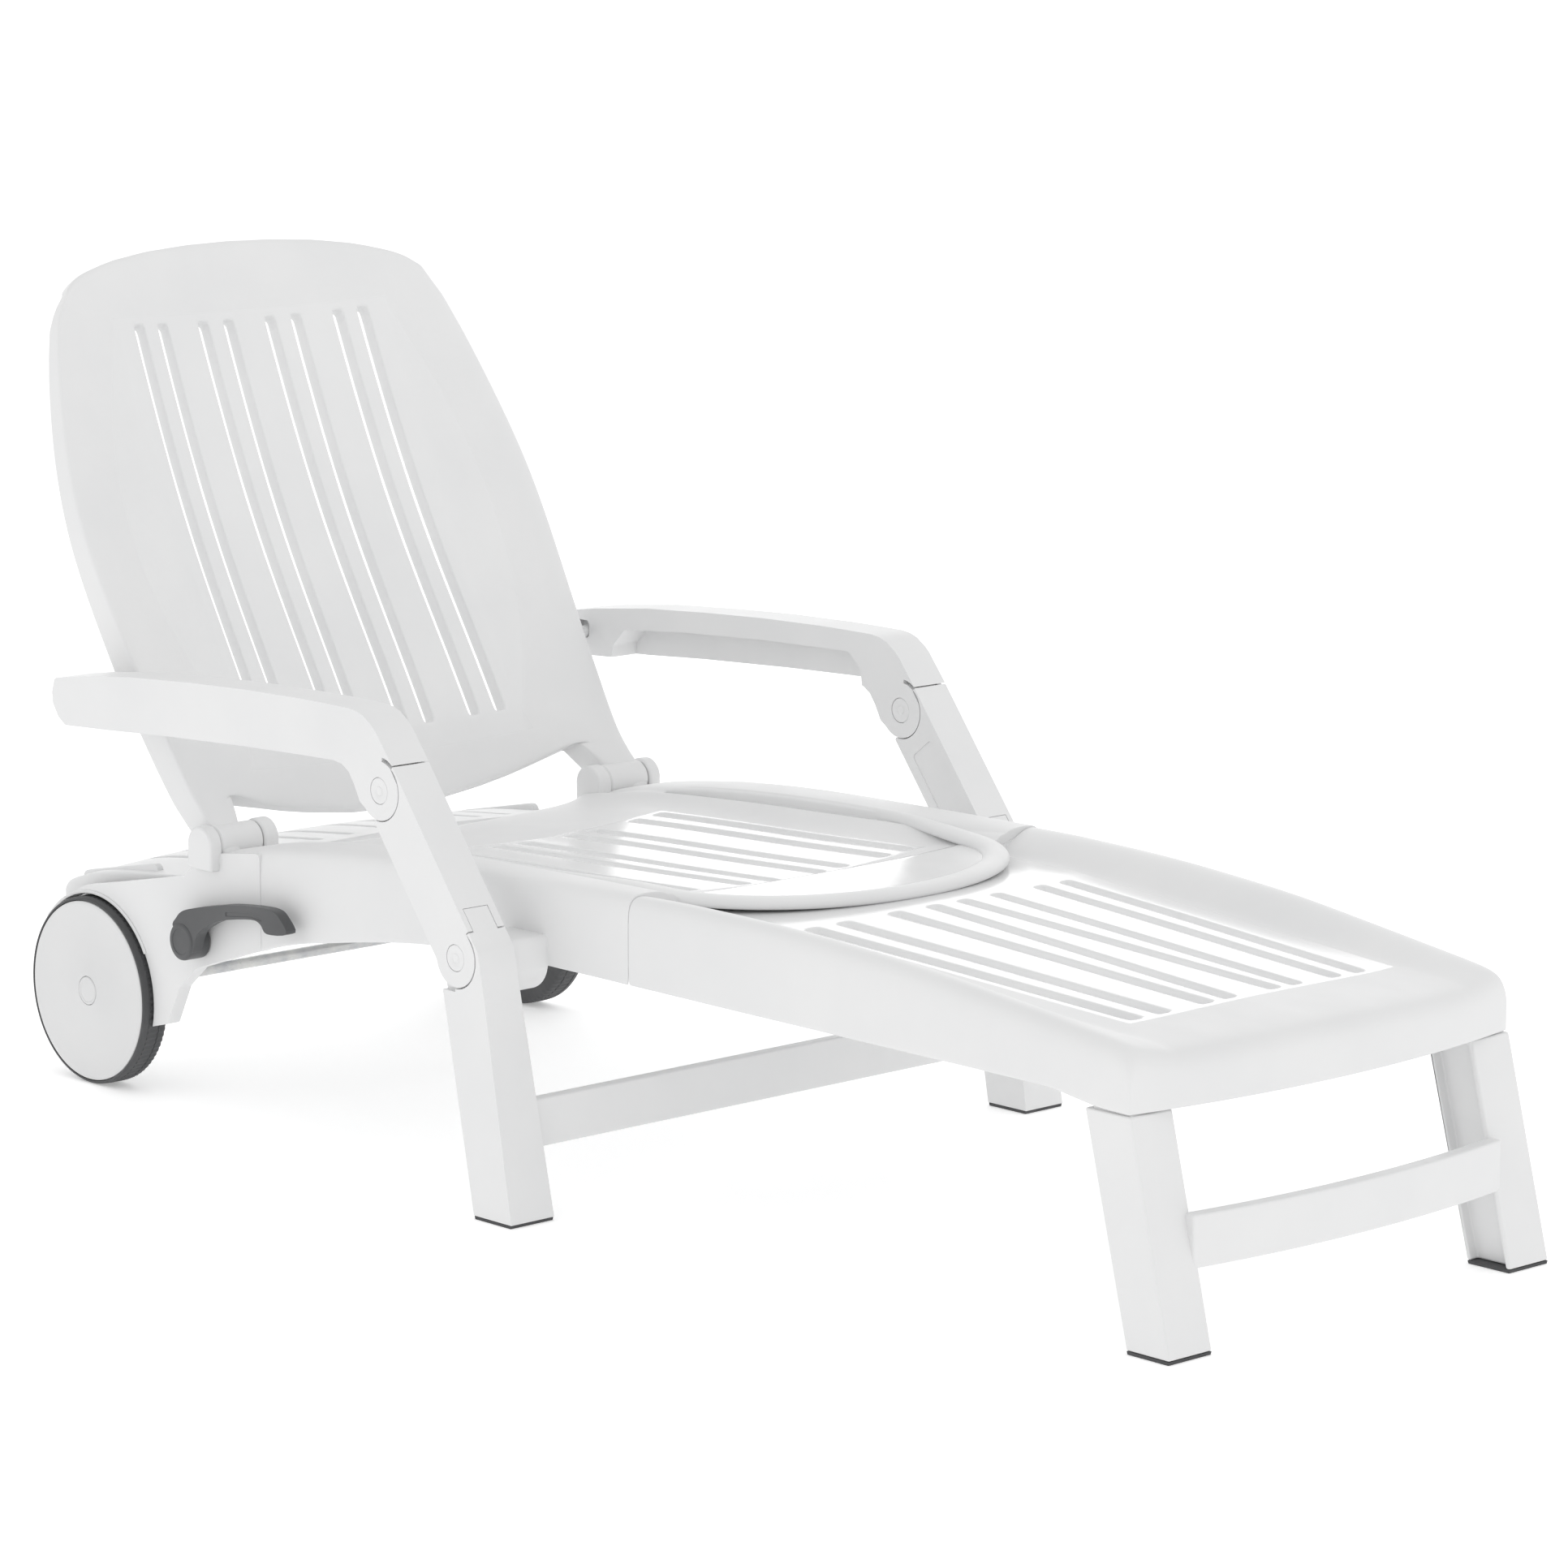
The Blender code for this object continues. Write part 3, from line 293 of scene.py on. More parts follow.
def circle(c, r, n=32, a0=0.0, a1=360.0, closed=True):
    """Points round c = (y, z) from a0 to a1 degrees; closed leaves out the repeated last one."""
    m = n if closed else n + 1
    return [(c[0] + r * math.cos(math.radians(a0 + (a1 - a0) * k / n)),
             c[1] + r * math.sin(math.radians(a0 + (a1 - a0) * k / n))) for k in range(m)]


def rounded(poly, r, n=5):
    """Round the corners of an outline where it turns by more than 20 degrees."""
    out, count = [], len(poly)
    for i in range(count):
        p, q, s = Vector(poly[i - 1]), Vector(poly[i]), Vector(poly[(i + 1) % count])
        a, b = p - q, s - q
        turn = math.pi - a.angle(b)
        if turn < math.radians(20):
            out.append(tuple(q))
            continue
        d = min(r * math.tan(turn / 2), 0.45 * a.length, 0.45 * b.length)
        a, b = q + a.normalized() * d, q + b.normalized() * d
        for k in range(n + 1):
            t = k / n
            out.append(tuple(a * (1 - t) ** 2 + q * 2 * t * (1 - t) + b * t ** 2))
    return out


def joined(ob, cutters, operation="DIFFERENCE"):
    """Apply booleans of throwaway meshes to a piece."""
    for bm in cutters:
        me = bpy.data.meshes.new("tool")
        bm.to_mesh(me)
        bm.free()
        tool = bpy.data.objects.new("tool", me)
        bpy.context.scene.collection.objects.link(tool)
        tool.matrix_world = Matrix.Translation((0, Y0, 0))
        m = modifier(ob, "BOOLEAN", operation=operation, solver="EXACT", object=tool)
        bpy.context.view_layer.update()
        done = bpy.data.meshes.new_from_object(ob.evaluated_get(bpy.context.evaluated_depsgraph_get()))
        ob.modifiers.remove(m)
        ob.data = done
        bpy.data.objects.remove(tool)
    return ob


def soften(ob, width, segments=3):
    """Rounded edges, as a moulding has."""
    ob.data.shade_smooth()
    modifier(ob, "BEVEL", width=width, segments=segments, limit_method="ANGLE", angle_limit=math.radians(32),
             use_clamp_overlap=True, miter_outer="MITER_ARC")
    modifier(ob, "WEIGHTED_NORMAL", keep_sharp=False, weight=60)
    return ob


def moulding(name, poly, x0, x1, body, mat=WHITE, bevel=0.0016, cut=(), add=()):
    """Outline moulding with cuts and additions, and softened edges."""
    ob = piece(name, prism(poly, *sorted((x0, x1))), mat, body)
    joined(ob, add, "UNION")
    joined(ob, cut)
    return soften(ob, bevel)


def lathe(name, profile, c, sx, body, mat, n=96, ripple=None):
    """Turned piece about X through c = (y, z); profile is (x, r), ripple(k, i) changes a radius."""
    bm = bmesh.new()
    rings = []
    for i, (x, r) in enumerate(profile):
        if r < 1e-6:
            rings.append([bm.verts.new((sx * x, c[0], c[1]))])
            continue
        ring = []
        for k in range(n):
            a = 2 * math.pi * k / n
            q = r + (ripple(k, i) if ripple else 0.0)
            ring.append(bm.verts.new((sx * x, c[0] + q * math.cos(a), c[1] + q * math.sin(a))))
        rings.append(ring)
    for ra, rb in zip(rings, rings[1:]):
        for k in range(n):
            quad = [ra[k % len(ra)], ra[(k + 1) % len(ra)], rb[(k + 1) % len(rb)], rb[k % len(rb)]]
            face = list(dict.fromkeys(quad))
            if len(face) > 2:
                bm.faces.new(face)
    ob = piece(name, bm, mat, body)
    ob.data.set_sharp_from_angle(angle=math.radians(40))
    return ob


def sn(s, n, origin, ang=LINK_A):
    """Point at s along and n across the link direction, from origin (y, z)."""
    return (origin[0] + s * math.cos(ang) - n * math.sin(ang),
            origin[1] + s * math.sin(ang) + n * math.cos(ang))


def bore(c, s):
    """Cutter for a pin hole through an arm at c = (y, z)."""
    return prism(circle(c, PIN_BORE, 24), *span(s, *ACROSS))


def hide(ob, *nodes):
    """Let a piece stand in for CAD nodes."""
    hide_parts(*nodes)
    return ob


# ---------------------------------------------------------------- leg rest
def rail_height(x, y, inner):
    """Rail crest near the edge falling to the inner surface."""
    w, c = lerp(HALF_W, y), lerp(CREST, y)
    edge = [(0.0, c - 0.013), (0.005, c - 0.0035), (0.014, c), (0.030, c - 0.003), (0.056, inner)]
    return lerp(edge, w - abs(x))


# Cage rows; the slots' rounded ends need the close pairs, and the last two make the seam's edge.
LEG_ROWS = [0.0522, 0.0560, 0.066, 0.09, 0.120, 0.1425, 0.146, 0.152, 0.23, 0.31, 0.39, 0.46, 0.515, 0.521,
            0.5245, 0.55, 0.60, 0.65, SEAM_Y - 0.0012, SEAM_Y - 0.0004]
LEG_DROP = {0.0522: 0.016, 0.0560: 0.006, 0.066: 0.0012}
LEG_SLOTS = [(0.0286, 0.15, 0.0190, 0.53), (0.0575, 0.15, 0.0650, 0.53), (0.1105, 0.15, 0.1265, 0.53),
             (0.1440, 0.15, 0.1640, 0.53)]
leg_half = [lambda y: 0.0] + slot_lines(LEG_SLOTS, 0.0083) \
    + [lambda y, d=d: lerp(HALF_W, y) - d for d in (0.060, 0.054, 0.030, 0.014, 0.005, 0.0004)]
leg_lines = mirror_lines(leg_half)
MIDDLE = len(leg_half) - 1


def leg_point(x, y):
    """Surface point: the front edge bows out and the slots' rear ends sweep back towards the rails."""
    w = lerp(HALF_W, y)
    bow = 0.0255 * max(0.0, 1.0 - (y - 0.0517) / 0.16) * (1.0 - (x / w) ** 2)
    sweep = 0.06 * abs(x) * smooth((y - 0.40) / 0.11) * (1.0 - smooth((y - 0.53) / 0.1))
    z = rail_height(x, y, lerp(PANEL, y))
    lift = 0.0015 * math.cos(math.pi * min(1.0, abs(x) / 0.19)) if abs(x) < 0.19 else -0.0015
    return Vector((x, y - bow + sweep, z + lift - LEG_DROP.get(y, 0.0)))


def slot_cell(i, j, first, last, mid, count):
    """True inside a slot: lines of a slot run in fours outwards from the middle line."""
    k = (j - mid if j >= mid else mid - 1 - j) - 1
    return first <= i < last and 0 <= k < 4 * count and k % 4 == 1


def leg_open(i, j):
    return slot_cell(i, j, LEG_ROWS.index(0.146), LEG_ROWS.index(0.521), MIDDLE, 4)


def leg_depth(i, j):
    y = LEG_ROWS[i]
    z = leg_point(leg_lines[j](y), y).z
    if j in (0, len(leg_lines) - 1) or i == 0:
        return z - lerp(SKIRT, y)
    return 0.010 if i == len(LEG_ROWS) - 1 else 0.0070


# flat picks the glossy slat area, painted a little lighter as painted reflection
leg_rest = shell("leg_rest_shell", LEG_ROWS, leg_lines, leg_point, leg_open, leg_depth, (0.4, 0.9, 1.0),
                 "frame", flat=lambda i, j: 5 <= i and 5 < j < len(leg_lines) - 6)
hide(leg_rest, "leg_rest_frame")


def leg_rib(y, bottom, half=0.200, n=12):
    """Cross rib under the panel."""
    bm = bmesh.new()
    low = [bm.verts.new((half * (2 * k / n - 1), y, bottom)) for k in range(n + 1)]
    top = [bm.verts.new((v.co.x, y, lerp(PANEL, y) - 0.0040)) for v in low]
    for k in range(n):
        bm.faces.new([low[k], low[k + 1], top[k + 1], top[k]])
    rib = piece("leg_rest_rib_%d" % round(y * 1000), bm, WHITE, "frame")
    modifier(rib, "SOLIDIFY", thickness=0.0030, offset=0.0)


leg_rib(0.135, 0.232)
leg_rib(0.60, 0.245)


# ---------------------------------------------------------------- seat pan and rails
SEAT_ROWS = [SEAM_Y, SEAM_Y + 0.0008, 0.672, 0.70, 0.7165, 0.720, 0.727, 0.76, 0.795, 0.80, 0.806, 0.86, 0.94,
             1.02, 1.086, 1.092, 1.096, 1.13, 1.154, 1.160, 1.165, 1.20, 1.24, 1.279]
SEAT_EDGE = (0.188, 0.2005, 0.2085, 0.2125, 0.2160, 0.2190, 0.2225, 0.232)    # pan edge, gap, rail foot
SEAT_SLOTS = [(x, 0.7, x, 1.1) for x in (0.030, 0.064, 0.125, 0.160)]
seat_half = [lambda y: 0.0] + slot_lines(SEAT_SLOTS, 0.0083) \
    + [lambda y, x=x: x for x in SEAT_EDGE] \
    + [lambda y, d=d: lerp(HALF_W, y) - d for d in (0.014, 0.005, 0.0004)]
seat_lines = mirror_lines(seat_half)
SEAT_MID = len(seat_half) - 1
SEAT_GAP = 1 + 4 * len(SEAT_SLOTS) + SEAT_EDGE.index(0.2160)      # column of the long gap beside the pan


def seat_point(x, y):
    """Surface point: a dished pan, the step up to the rail, and slots swept back towards the rails."""
    w, c, f = lerp(HALF_W, y), lerp(CREST, y), lerp(SEAT_FLOOR, y)
    a = abs(x)
    t = [(0.0, f - 0.003), (0.10, f - 0.0015), (0.165, f + 0.001), (0.188, f + 0.003), (0.2005, f + 0.0065),
         (0.2085, f + 0.011), (0.2125, min(f + 0.0135, c - 0.003)), (0.2160, min(f + 0.014, c - 0.004)),
         (0.2190, c - 0.0045), (0.2225, c - 0.0025), (0.232, c - 0.0005),
         (w - 0.014, c), (w - 0.005, c - 0.0035), (w, c - 0.013)]
    inside = 1.0 - smooth((a - 0.168) / 0.03)
    sweep = 0.10 * a * inside * smooth((y - 0.68) / 0.03) * (1 - smooth((y - 1.11) / 0.05))
    return Vector((x, y + sweep, lerp(t, a)))


def seat_open(i, j):
    if slot_cell(i, j, SEAT_ROWS.index(0.720), SEAT_ROWS.index(1.092), SEAT_MID, 4):
        return True
    k = j - SEAT_MID if j >= SEAT_MID else SEAT_MID - 1 - j
    return k == SEAT_GAP and SEAT_ROWS.index(0.80) <= i < SEAT_ROWS.index(1.160)


def seat_depth(i, j):
    y = SEAT_ROWS[i]
    if j in (0, len(seat_lines) - 1):
        return seat_point(seat_lines[j](y), y).z - lerp(SKIRT, y)
    return 0.010 if i in (0, len(SEAT_ROWS) - 1) else 0.0080


# flat picks the glossy pan area, painted a little lighter as painted reflection
seat = shell("seat_shell", SEAT_ROWS, seat_lines, seat_point, seat_open, seat_depth, (0.4, 0.9, 1.0), "frame",
             flat=lambda i, j: 4 <= i <= 15 and abs(j - SEAT_MID + 0.5) < 16.5)
hide(seat, "seat_rear_frame")


def sweep_ring(name, path, section, body):
    """Closed section (across, up) carried along a path of (x, y, z, width factor)."""
    bm = bmesh.new()
    rings = []
    for i, (x, y, z, k) in enumerate(path):
        a, b = path[max(0, i - 1)], path[min(len(path) - 1, i + 1)]
        t = Vector((b[0] - a[0], b[1] - a[1], 0)).normalized()
        side = Vector((t.y, -t.x, 0))
        rings.append([bm.verts.new(Vector((x, y, z)) + side * u * k + Vector((0, 0, v))) for u, v in section])
    n = len(section)
    for ra, rb in zip(rings, rings[1:]):
        for k in range(n):
            bm.faces.new([ra[k], ra[(k + 1) % n], rb[(k + 1) % n], rb[k]])
    bm.faces.new(rings[0][::-1])
    bm.faces.new(rings[-1])
    ob = piece(name, bm, WHITE, body)
    modifier(ob, "SUBSURF", levels=2, render_levels=2)


# Raised lip round the front of the seat, running back along the pan: (y, x, width factor) of its side run.
LIP_SIDE = [(1.16, 0.2265, 0.20), (1.10, 0.2265, 0.33), (1.00, 0.2265, 0.40), (0.88, 0.2265, 0.40),
            (0.83, 0.2250, 0.42),
            (0.80, 0.2215, 0.50), (0.775, 0.2165, 0.62), (0.75, 0.2105, 0.80), (0.725, 0.2055, 0.93)]
lip_path = [(-x, y, lerp(CREST, y) - 0.0030 + 0.0022 * smooth((y - 0.70) / 0.13), k) for y, x, k in LIP_SIDE]
for quarter in range(0, 91, 9):
    c, d = math.cos(math.radians(quarter)), math.sin(math.radians(quarter))
    lip_path.append((-0.2015 * c, 0.70 - 0.1405 * d, 0.3035 - 0.0045 * d, 1.0))
lip_path += [(-x, y, z, k) for x, y, z, k in lip_path[-2::-1]]
LIP = [(-0.0165, -0.0130), (-0.0160, -0.0060), (-0.0125, -0.0018), (-0.0040, 0.0), (0.0060, -0.0012),
       (0.0112, -0.0050), (0.0122, -0.0130)]
sweep_ring("seat_lip", lip_path, LIP, "frame")


def front_pan(n=8, across=20):
    """Half-round pan between the front lip and the first slots."""
    bm = bmesh.new()
    rows = []
    for k in range(n + 1):
        t = k / n
        y = 0.575 + 0.125 * t
        half = 0.196 * math.sqrt(max(0.02, 1.0 - ((0.70 - y) / 0.135) ** 2))
        row = []
        for q in range(across + 1):
            u = q / (across / 2) - 1
            row.append(bm.verts.new((half * u, y, 0.2915 - 0.0035 * t + 0.004 * abs(u) ** 3)))
        rows.append(row)
    for ra, rb in zip(rows, rows[1:]):
        for q in range(across):
            bm.faces.new([ra[q], ra[q + 1], rb[q + 1], rb[q]])
    # the pan takes the glossy material, painted a little lighter as painted reflection
    pan = piece("seat_front_pan", bm, GLOSS_PAINTED_REFLECTION, "frame")
    modifier(pan, "SOLIDIFY", thickness=0.0026, offset=0.0)
    modifier(pan, "SUBSURF", levels=1, render_levels=1)


front_pan()

# ---------------------------------------------------------------- rear deck
DECK_ROWS = [1.3455, 1.350, 1.368, 1.372, 1.378, 1.42, 1.465, 1.492, 1.498, 1.502, 1.52, 1.535, 1.543, 1.5485]
DECK_SLOTS = [(x, 1.34, x + 0.003, 1.5) for x in (0.025, 0.065, 0.105, 0.145, 0.185)]
DECK_DROP = {1.543: 0.002, 1.5485: 0.009}       # rounded rear edge
deck_half = [lambda y: 0.0] + slot_lines(DECK_SLOTS, 0.0045, 0.003) \
    + [lambda y, x=x: x for x in (0.225, 0.250, 0.258, 0.2616)]
deck_lines = mirror_lines(deck_half)
DECK_MID = len(deck_half) - 1


def deck_point(x, y):
    return Vector((x, y, lerp(DECK, y) - 0.0117 * (x / 0.262) ** 2 - DECK_DROP.get(y, 0.0) - 0.0004))


def deck_open(i, j):
    return slot_cell(i, j, DECK_ROWS.index(1.372), DECK_ROWS.index(1.498), DECK_MID, 5)


def deck_depth(i, j):
    if i == len(DECK_ROWS) - 1 or (j in (0, len(deck_lines) - 1) and i > 9):
        return deck_point(deck_lines[j](DECK_ROWS[i]), DECK_ROWS[i]).z - 0.1765
    return 0.0105 if 0 < i and 0 < j < len(deck_lines) - 1 else 0.016


shell("rear_deck_shell", DECK_ROWS, deck_lines, deck_point, deck_open, deck_depth, (0.25, 0.9, 1.0), "frame",
      wall=0.0024)

# ---------------------------------------------------------------- side walls, lugs and brackets
WALL_YZ = [(1.19, 0.2750), (1.255, 0.2660), (1.300, 0.2450), (1.314, 0.2350), (1.416, 0.2144), (1.48, 0.2020),
           (1.5066, 0.1900), (1.545, 0.1640), (1.5655, 0.1277)]
WALL_END = [(1.3705, 0.0731), (1.3445, 0.0799), (1.3236, 0.1208), (1.2962, 0.1441), (1.2164, 0.1706),
            (1.19, 0.1780)]
ARCH_R = 0.0985
WALL_IN, WALL_OUT = 0.2700, 0.2848


def side_wall(tag, s):
    """Wall over the wheel with its arch lip, axle bracket and the tie to the deck."""
    arch = circle(WHEEL, ARCH_R, 36, 18.0, 193.5, False)
    pocket = rounded([(1.20, 0.262), (1.25, 0.256), (1.290, 0.240), (1.33, 0.222), (1.345, 0.19),
                      (1.345, 0.15), (1.31, 0.148), (1.29, 0.158), (1.20, 0.184)], 0.008)
    moulding("side_wall_" + tag, rounded(WALL_YZ + arch + WALL_END, 0.006), s * WALL_IN, s * WALL_OUT,
             "frame", bevel=0.0022,
             cut=[prism(pocket, *span(s, 0.2650, 0.2805))])
    lip = circle(WHEEL, ARCH_R, 40, 20.0, 150.0, False) \
        + circle(WHEEL, ARCH_R + 0.0035, 40, 150.0, 20.0, False)
    moulding("arch_lip_" + tag, lip, s * 0.2846, s * 0.2868, "frame", bevel=0.0009)
    bracket = rounded([(1.40, 0.2320), (1.405, 0.10), (1.4480, 0.0800), (1.4657, 0.0763), (1.4834, 0.0800),
                       (1.52, 0.10), (1.53, 0.2060)], 0.010)
    moulding("axle_bracket_" + tag, bracket, s * 0.2440, s * 0.2520, "frame",
             cut=[prism(circle(WHEEL, PIN_BORE, 24), *span(s, 0.24, 0.26))])
    tie = [(1.205, 0.1930), (1.400, 0.1930), (1.400, 0.2040), (1.205, 0.2040)]
    moulding("deck_tie_" + tag, rounded(tie, 0.003), s * 0.2200, s * WALL_IN, "frame")


def side_lugs(tag, s):
    """Lugs for the back's hinge, the middle leg and the lever shaft, and a gusset."""
    for part, lo, hi in (("inner", 0.2100, 0.2275), ("outer", 0.2806, 0.2955)):
        lug = [(1.2545, 0.2480), (1.2925, 0.2480)] + circle(HINGE, 0.0195, 22, 0, 180, False)
        moulding("hinge_lug_%s_%s" % (part, tag), lug, s * lo, s * hi, "frame", bevel=0.0030)
    lug = [(0.7735, 0.256), (0.7735, 0.226)] + circle((0.8019, 0.2300), 0.0285, 20, 190, 350, False) \
        + [(0.8300, 0.226), (0.8270, 0.256)]
    moulding("leg_lug_" + tag, rounded(lug, 0.006), s * 0.2690, s * (ARM_IN - 0.0007), "frame", bevel=0.0035,
             cut=[prism(circle(LOW, PIN_BORE, 24), *span(s, 0.264, 0.32))])
    bearing = [(0.2660, 0.0), (0.2660, 0.0125), (0.2850, 0.0125), (0.2856, 0.0118), (0.2856, 0.0052),
               (0.2700, 0.0052), (0.2700, 0.0)]
    lathe("lever_bearing_" + tag, bearing, KNOB, s, "frame", WHITE, 48)
    rib = rounded([(1.215, 0.1935), (1.215, 0.178), (1.262, 0.161), (1.262, 0.1935)], 0.004)
    moulding("wall_gusset_" + tag, rib, s * 0.2640, s * WALL_IN, "frame", bevel=0.0012)


for tag, s in SIDES:
    side_wall(tag, s)
    side_lugs(tag, s)

# ---------------------------------------------------------------- backrest
# Tables over v: face height w, extra rise of the two arms, depth of the rim, outer half width; and over x:
# v of the crown and v of the foot edge between the arms.
FACE = [(-0.02, -0.0400), (0.05, -0.0370), (0.10, -0.0345), (0.1294, -0.0350), (0.19, -0.0385),
        (0.25, -0.0430), (0.3153, -0.0460), (0.3753, -0.0460), (0.43, -0.0435), (0.48, -0.0400),
        (0.53, -0.0355), (0.5677, -0.0315), (0.60, -0.0275), (0.66, -0.0190)]
ARM_RISE = [(-0.018, 0.0330), (0.0, 0.0330), (0.03, 0.0200), (0.06, 0.0100), (0.10, 0.0040), (0.16, 0.0)]
DEPTH = [(-0.018, 0.030), (0.10, 0.036), (0.18, 0.036), (0.25, 0.031), (0.40, 0.025), (0.50, 0.0215),
         (0.60, 0.015), (0.66, 0.0085)]
OUT = [(-0.018, 0.2795), (0.03, 0.2795), (0.09, 0.283), (0.15, 0.2875), (0.21, 0.2915), (0.26, 0.295),
       (0.31, 0.2977), (0.36, 0.297), (0.4108, 0.2905), (0.4828, 0.276), (0.530, 0.2635), (0.569, 0.2500),
       (0.58, 0.2440), (0.6468, 0.2290)]
CROWN = [(0.0, 0.6468), (0.055, 0.6452), (0.11, 0.6402), (0.16, 0.6315), (0.20, 0.6195), (0.218, 0.6110),
         (0.229, 0.6005)]
FOOT = [(0.0, 0.0215), (0.055, 0.0235), (0.105, 0.0285), (0.148, 0.0350), (0.190, 0.0430), (0.213, 0.0510),
        (0.2285, 0.0520), (0.30, 0.0520)]
BACK_ROWS = [-0.0178, -0.006, 0.010, 0.030, 0.0425, 0.046, 0.056, 0.075, 0.0975, 0.101, 0.107, 0.16, 0.22,
             0.28, 0.34, 0.40, 0.46, 0.52, 0.556, 0.562, 0.566, 0.595, 0.620, 0.634, 0.6415, 0.6468]
CROWN_START, FOOT_START = 0.58, 0.075    # v where the rows begin to follow the crown and the foot edge
B_FOOT, B_SLOT, B_SLOT_END = (BACK_ROWS.index(v) for v in (0.0425, 0.101, 0.562))
BACK_SLOTS = [(0.0290, 0.1, 0.0270, 0.56), (0.0620, 0.1, 0.0605, 0.56), (0.1200, 0.1, 0.1142, 0.56),
              (0.1530, 0.1, 0.1455, 0.56)]


def back_edge(d):
    """Line that keeps d from the outer edge."""
    return lambda v: lerp(OUT, v) - d


def crescent(f):
    """Lines of the lens-shaped facet outside the slots."""
    def line(v):
        t = min(1.0, max(0.0, (v - 0.10) / 0.45))
        inner, outer = 0.172, 0.178 + 0.058 * math.sin(math.pi * t) ** 0.8
        return inner + (outer - inner) * f
    return line


back_half = [lambda v: 0.0] + slot_lines(BACK_SLOTS, 0.0065, 0.0032) \
    + [crescent(0.0), crescent(0.12), crescent(0.88), crescent(1.0)] \
    + [lambda v: max(0.2284 if v < 0.09 else 0.0, crescent(1.0)(v) + 0.004),
       back_edge(0.028), back_edge(0.014), back_edge(0.005), back_edge(0.0004)]
back_lines = mirror_lines(back_half)
BACK_MID = len(back_half) - 1
ARM_LINE = len(back_half) - 5          # inner edge of the arm


def back_w(x, v):
    """Height of the face: dished across, with a rounded outer edge."""
    a = abs(x)
    arm = smooth((a - 0.195) / 0.035)
    w = lerp(FACE, v) + 0.0275 * (x / 0.295) ** 2 + arm * lerp(ARM_RISE, v)
    edge = lerp(OUT, v) - a
    return w - 0.0045 * (1.0 - smooth(edge / 0.010))


def back_point(x, v):
    """Surface point, with the facets sunk beside the slots and the rows bent to the crown and the foot."""
    a = abs(x)
    w = back_w(x, v)
    t = min(1.0, max(0.0, (v - 0.10) / 0.45))
    across = (a - crescent(0.0)(v)) / (crescent(1.0)(v) - crescent(0.0)(v))
    if 0.05 < across < 1.0:
        w -= 0.0036 * math.sin(math.pi * t) * (1.0 - across)
    vv = v
    if v > CROWN_START:
        rise = (v - CROWN_START) / (BACK_ROWS[-1] - CROWN_START)
        vv = CROWN_START + (lerp(CROWN, a) - CROWN_START) * rise
        w = back_w(x, vv) - 0.0045 * smooth((rise - 0.88) / 0.12)
    elif v < FOOT_START and a < 0.2286:
        k = (v - FOOT_START) / (0.0425 - FOOT_START)
        vv = FOOT_START + (lerp(FOOT, a) - FOOT_START) * min(1.0, k)
        w = back_w(x, vv) - (0.0040 if v < 0.0426 else 0.0012 if v < 0.0461 else 0.0)
    return Vector((x, vv, w))


def back_open(i, j):
    k = j - BACK_MID if j >= BACK_MID else BACK_MID - 1 - j
    if i < B_FOOT:
        return k < ARM_LINE
    return slot_cell(i, j, B_SLOT, B_SLOT_END, BACK_MID, 4)


def back_depth(i, j):
    v = BACK_ROWS[i]
    k = abs(j - BACK_MID)
    if B_SLOT <= i <= B_SLOT_END and k < len(back_half) - 1:
        return 0.0150
    if i <= B_FOOT and k < ARM_LINE:
        return 0.013
    return lerp(DEPTH, v)


TURN = Matrix.Translation((0, *HINGE)) @ Matrix.Rotation(LEAN, 4, "X")
# flat picks the glossy slat area, painted a little lighter as painted reflection
back = shell("backrest_shell", BACK_ROWS, back_lines, back_point, back_open, back_depth, (0.22, 0.92, 1.0),
             "back", TURN, flat=lambda i, j: B_SLOT - 2 <= i <= B_SLOT_END and abs(j - BACK_MID + 0.5) < 20)
hide(back, "backrest")

stud_low, stud_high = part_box("armrest_stud_left")
STUD = (stud_low.y / 2 + stud_high.y / 2 - Y0, stud_low.z / 2 + stud_high.z / 2)
for tag, s in SIDES:
    eye = [(0.2284, 0.0), (0.2284, 0.0165), (0.2300, 0.0180), (0.2780, 0.0180), (0.2796, 0.0165),
           (0.2796, 0.0)]
    lathe("back_arm_eye_" + tag, eye, HINGE, s, "back", WHITE, 64)
    boss = [(0.2700, 0.0), (0.2700, 0.0088), (0.3000, 0.0088), (0.3009, 0.0080), (0.3009, 0.0)]
    lathe("stud_boss_" + tag, boss, STUD, s, "back", WHITE, 40)

# ---------------------------------------------------------------- legs and feet
FOOT_H = 0.0032           # thickness of a foot pad
LEG_Z = FOOT_H + 0.0003   # lower end of a leg, just clear of its pad


def tapered(low, high):
    """Box whose bottom and top faces are (x pair, y pair, z)."""
    bm = bmesh.new()
    bmesh.ops.create_cube(bm, size=2.0)
    for v in bm.verts:
        xs, ys, z = high if v.co.z > 0 else low
        v.co = (sorted(xs)[v.co.x > 0], ys[v.co.y > 0], z)
    return bm


def bowed(x, y_end, bow, z0, z1, deep, n=24):
    """Bar from -x to x that bows forward in the middle, between heights z0 and z1."""
    arc = [(x * (-1 + 2 * k / n), y_end - bow * (1 - (-1 + 2 * k / n) ** 2)) for k in range(n + 1)]
    loop = arc + [(u, v + deep) for u, v in arc[::-1]]
    return extruded([(u, v, z0) for u, v in loop], 2, z1)


